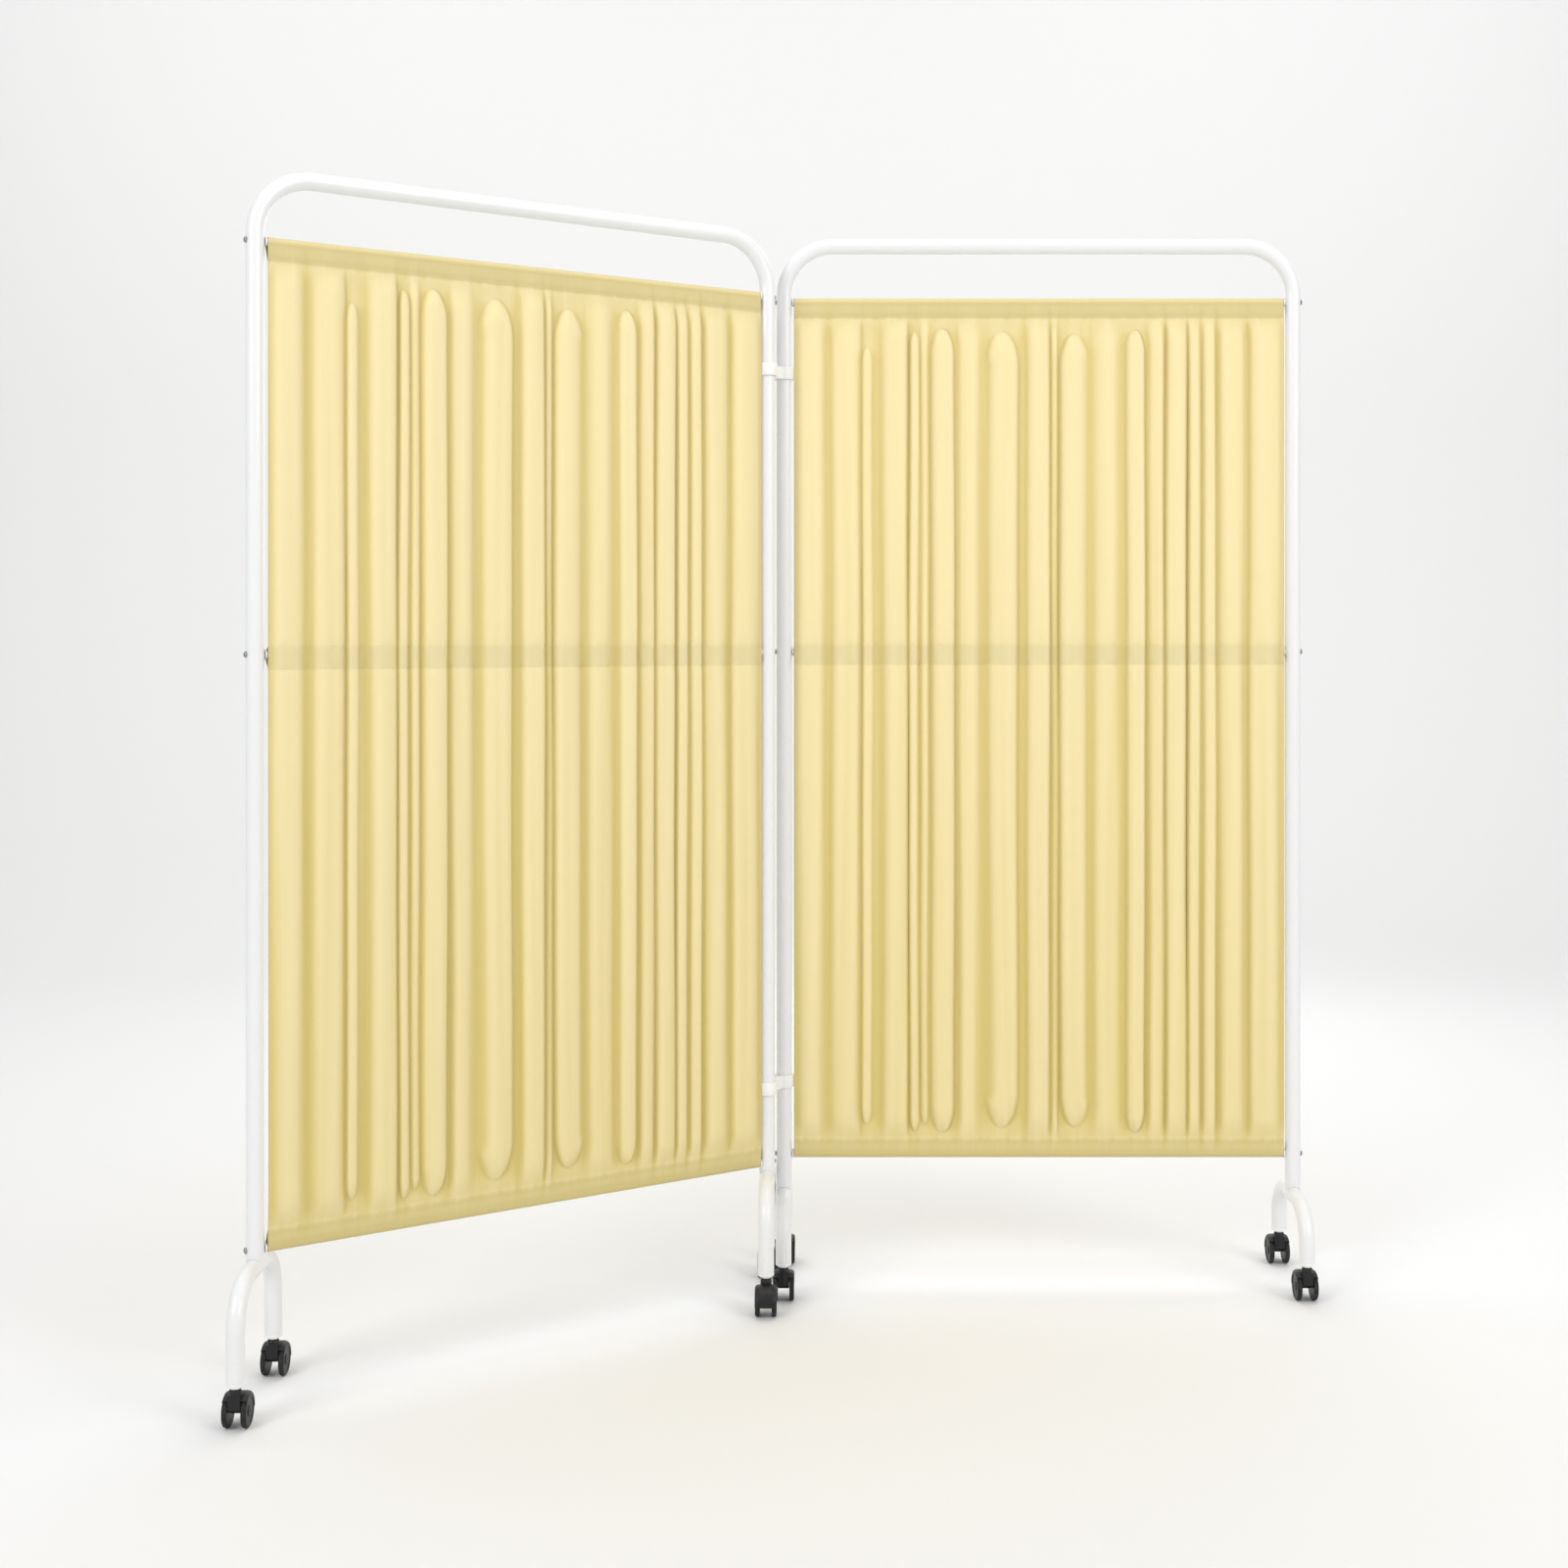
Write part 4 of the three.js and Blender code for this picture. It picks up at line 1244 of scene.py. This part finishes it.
    def wheel(self, castor, side, sizes, finish):
        """One wheel: a rounded tread, a dished face and a hub, turned about the axle."""
        node = f"{castor}_{side}_wheel"
        low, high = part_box(node)
        axle = self.axle(castor)
        swivel = castor_place(castor)
        outward = 1 if (low.x + high.x) / 2 > swivel.x else -1
        outer = max(abs(low.x - swivel.x), abs(high.x - swivel.x))
        width = self.wheel_width(castor)
        inner = outer - width
        radius = sizes.wheel
        curve = sizes.tread_round
        bevel = self.tread_bevel
        profile = [(0, 0.2 * MM), (3.4 * MM, 0.2 * MM), (radius - 1.6 * MM, 0)]
        for angle in np.linspace(0, QUARTER, 5):
            profile.append((radius - bevel * (1 - math.sin(angle)), bevel * (1 - math.cos(angle))))
        for angle in np.linspace(0, QUARTER, 9):
            rise = curve * (1 - math.sin(angle))
            profile.append((radius - curve * (1 - math.cos(angle)), width - rise))
        dish = radius - curve - 0.8 * MM
        face = (
            (dish, 0.1), (dish - 0.5 * MM, 0.9), (self.hub_outer, 1.5),
            (self.hub_inner + 0.4 * MM, 1.2), (self.hub_inner, 0.3), (self.hub_inner - 0.8 * MM, 0),
            (2.2 * MM, 0), (1.8 * MM, 0.5), (0, 0.5),
        )
        profile.extend((reach, width - depth * MM) for reach, depth in face)
        form = Form()
        centre = axle + Vector((outward * inner, 0, 0))
        form.add(*turned(profile, centre, Vector((outward, 0, 0)), 56))
        if side == "left":
            span = 2 * inner - self.gap
            pin = [(0, 0), (self.axle_pin, 0), (self.axle_pin, span), (0, span)]
            form.add(*turned(pin, centre, Vector((-outward, 0, 0)), 24))
        form.values["reach"] = [math.hypot(y - axle.y, z - axle.z) for _, y, z in form.points]
        form.piece(f"{node}_tread", finish, f"{castor}_wheels", [node], sharp=35)


# The stage

CENTRE = (0, 0, 0.85)

# Each lamp: name, place, what it points at, size, and power as a share of the front lamp's
LAMPS = (
    ("key", (-2.6, -3.2, 3.0), CENTRE, 2.2, 1),
    ("fill", (3.3, -3.0, 2.7), CENTRE, 2.4, 1.06),
    ("top", (0.2, -0.2, 3.6), CENTRE, 2.6, 0.3),
    ("behind", (0.4, 2.6, 2.2), CENTRE, 2.8, 0.3),
    ("wash", (-2.4, 1.6, 4.6), (-2.0, 5, 2.0), 3.0, 0.78),
    ("wash", (2.4, 1.6, 4.6), (2.0, 5, 2.0), 3.0, 0.78),
)
SKY_LIGHT = 0.6


class WARD_SCREEN_OT_stage(bpy.types.Operator):
    """Sets the floor, the backdrop, the lamps and the camera"""

    bl_idname = "ward_screen.stage"
    bl_label = "Stage"

    def execute(self, context):
        look = context.scene.screen_stage
        self.backdrop(look)
        for name, place, target, size, share in LAMPS:
            self.lamp(name, Vector(place), Vector(target), size, look.key * share)
        world = bpy.data.worlds.new("studio")
        world.use_nodes = True
        sky = world.node_tree.nodes["Background"].inputs
        sky["Color"].default_value = (1, 1, 1, 1)
        sky["Strength"].default_value = SKY_LIGHT
        context.scene.world = world
        context.scene.view_settings.view_transform = "Standard"
        self.camera(context.scene)
        return {"FINISHED"}

    def backdrop(self, look):
        """One sheet: the floor, a wide sweep and the wall behind."""
        half, front, back, bend, top = 14.0, -12.0, 5.0, 2.0, 7.0
        path = [(front, 0.0), (back - bend, 0.0)]
        for angle in np.linspace(0, QUARTER, 17)[1:]:
            path.append((back - bend * (1 - math.sin(angle)), bend * (1 - math.cos(angle))))
        path.append((back, top))
        points = [(x, y, z) for y, z in path for x in (-half, half)]
        faces = [(2 * i, 2 * i + 1, 2 * i + 3, 2 * i + 2) for i in range(len(path) - 1)]
        mesh = bpy.data.meshes.new("backdrop")
        mesh.from_pydata(points, [], faces)
        mesh.polygons.foreach_set("use_smooth", [True] * len(mesh.polygons))
        mesh.materials.append(material("pale ground", stage_ground, look))
        made = bpy.data.objects.new("backdrop", mesh)
        bpy.context.scene.collection.objects.link(made)

    def lamp(self, name, place, target, size, power):
        """A round soft lamp."""
        data = bpy.data.lights.new(name, "AREA")
        data.shape = "DISK"
        data.size = size
        data.energy = power
        made = bpy.data.objects.new(name, data)
        made.location = place
        made.rotation_euler = (target - place).to_track_quat("-Z", "Y").to_euler()
        bpy.context.scene.collection.objects.link(made)

    def camera(self, scene):
        """A level camera before the hinge, a little over half the screen's height."""
        hinge = (POSTS["left_inner"] + POSTS["right_inner"]) / 2
        data = bpy.data.cameras.new("camera")
        data.sensor_width = 36
        data.lens = 45.26
        data.shift_x = -0.0153
        data.shift_y = -0.0946
        made = bpy.data.objects.new("camera", data)
        made.location = hinge + Vector((0.052, -3.185, 1.054))
        made.rotation_euler = (QUARTER, 0, 0)
        scene.collection.objects.link(made)
        scene.camera = made


class WARD_SCREEN_PT_panel(bpy.types.Panel):
    """Lists the steps and their sizes"""

    bl_label = "Ward screen"
    bl_idname = "WARD_SCREEN_PT_panel"
    bl_space_type = "VIEW_3D"
    bl_region_type = "UI"
    bl_category = "Ward screen"

    def draw(self, context):
        """Draws a button for each step and a box for each group of values."""
        for step in STEPS:
            self.layout.operator(step.bl_idname)
        for name, group in GROUPS.items():
            box = self.layout.box()
            for prop in group.__annotations__:
                box.prop(getattr(context.scene, name), prop)


STEPS = (
    WARD_SCREEN_OT_tubes,
    WARD_SCREEN_OT_rods,
    WARD_SCREEN_OT_clips,
    WARD_SCREEN_OT_curtains,
    WARD_SCREEN_OT_castors,
    WARD_SCREEN_OT_stage,
)
CLASSES = (*GROUPS.values(), *STEPS, WARD_SCREEN_PT_panel)


def register():
    """Adds the classes and their values to the scene."""
    for cls in CLASSES:
        bpy.utils.register_class(cls)
    for name, group in GROUPS.items():
        setattr(bpy.types.Scene, name, bpy.props.PointerProperty(type=group))


def unregister():
    """Takes the values and classes away again."""
    for name in GROUPS:
        delattr(bpy.types.Scene, name)
    for cls in reversed(CLASSES):
        bpy.utils.unregister_class(cls)


def main():
    """Runs every step in order."""
    register()
    bpy.ops.ward_screen.tubes()
    bpy.ops.ward_screen.rods()
    bpy.ops.ward_screen.clips()
    bpy.ops.ward_screen.curtains()
    bpy.ops.ward_screen.castors()
    bpy.ops.ward_screen.stage()


if __name__ == "__main__":
    main()
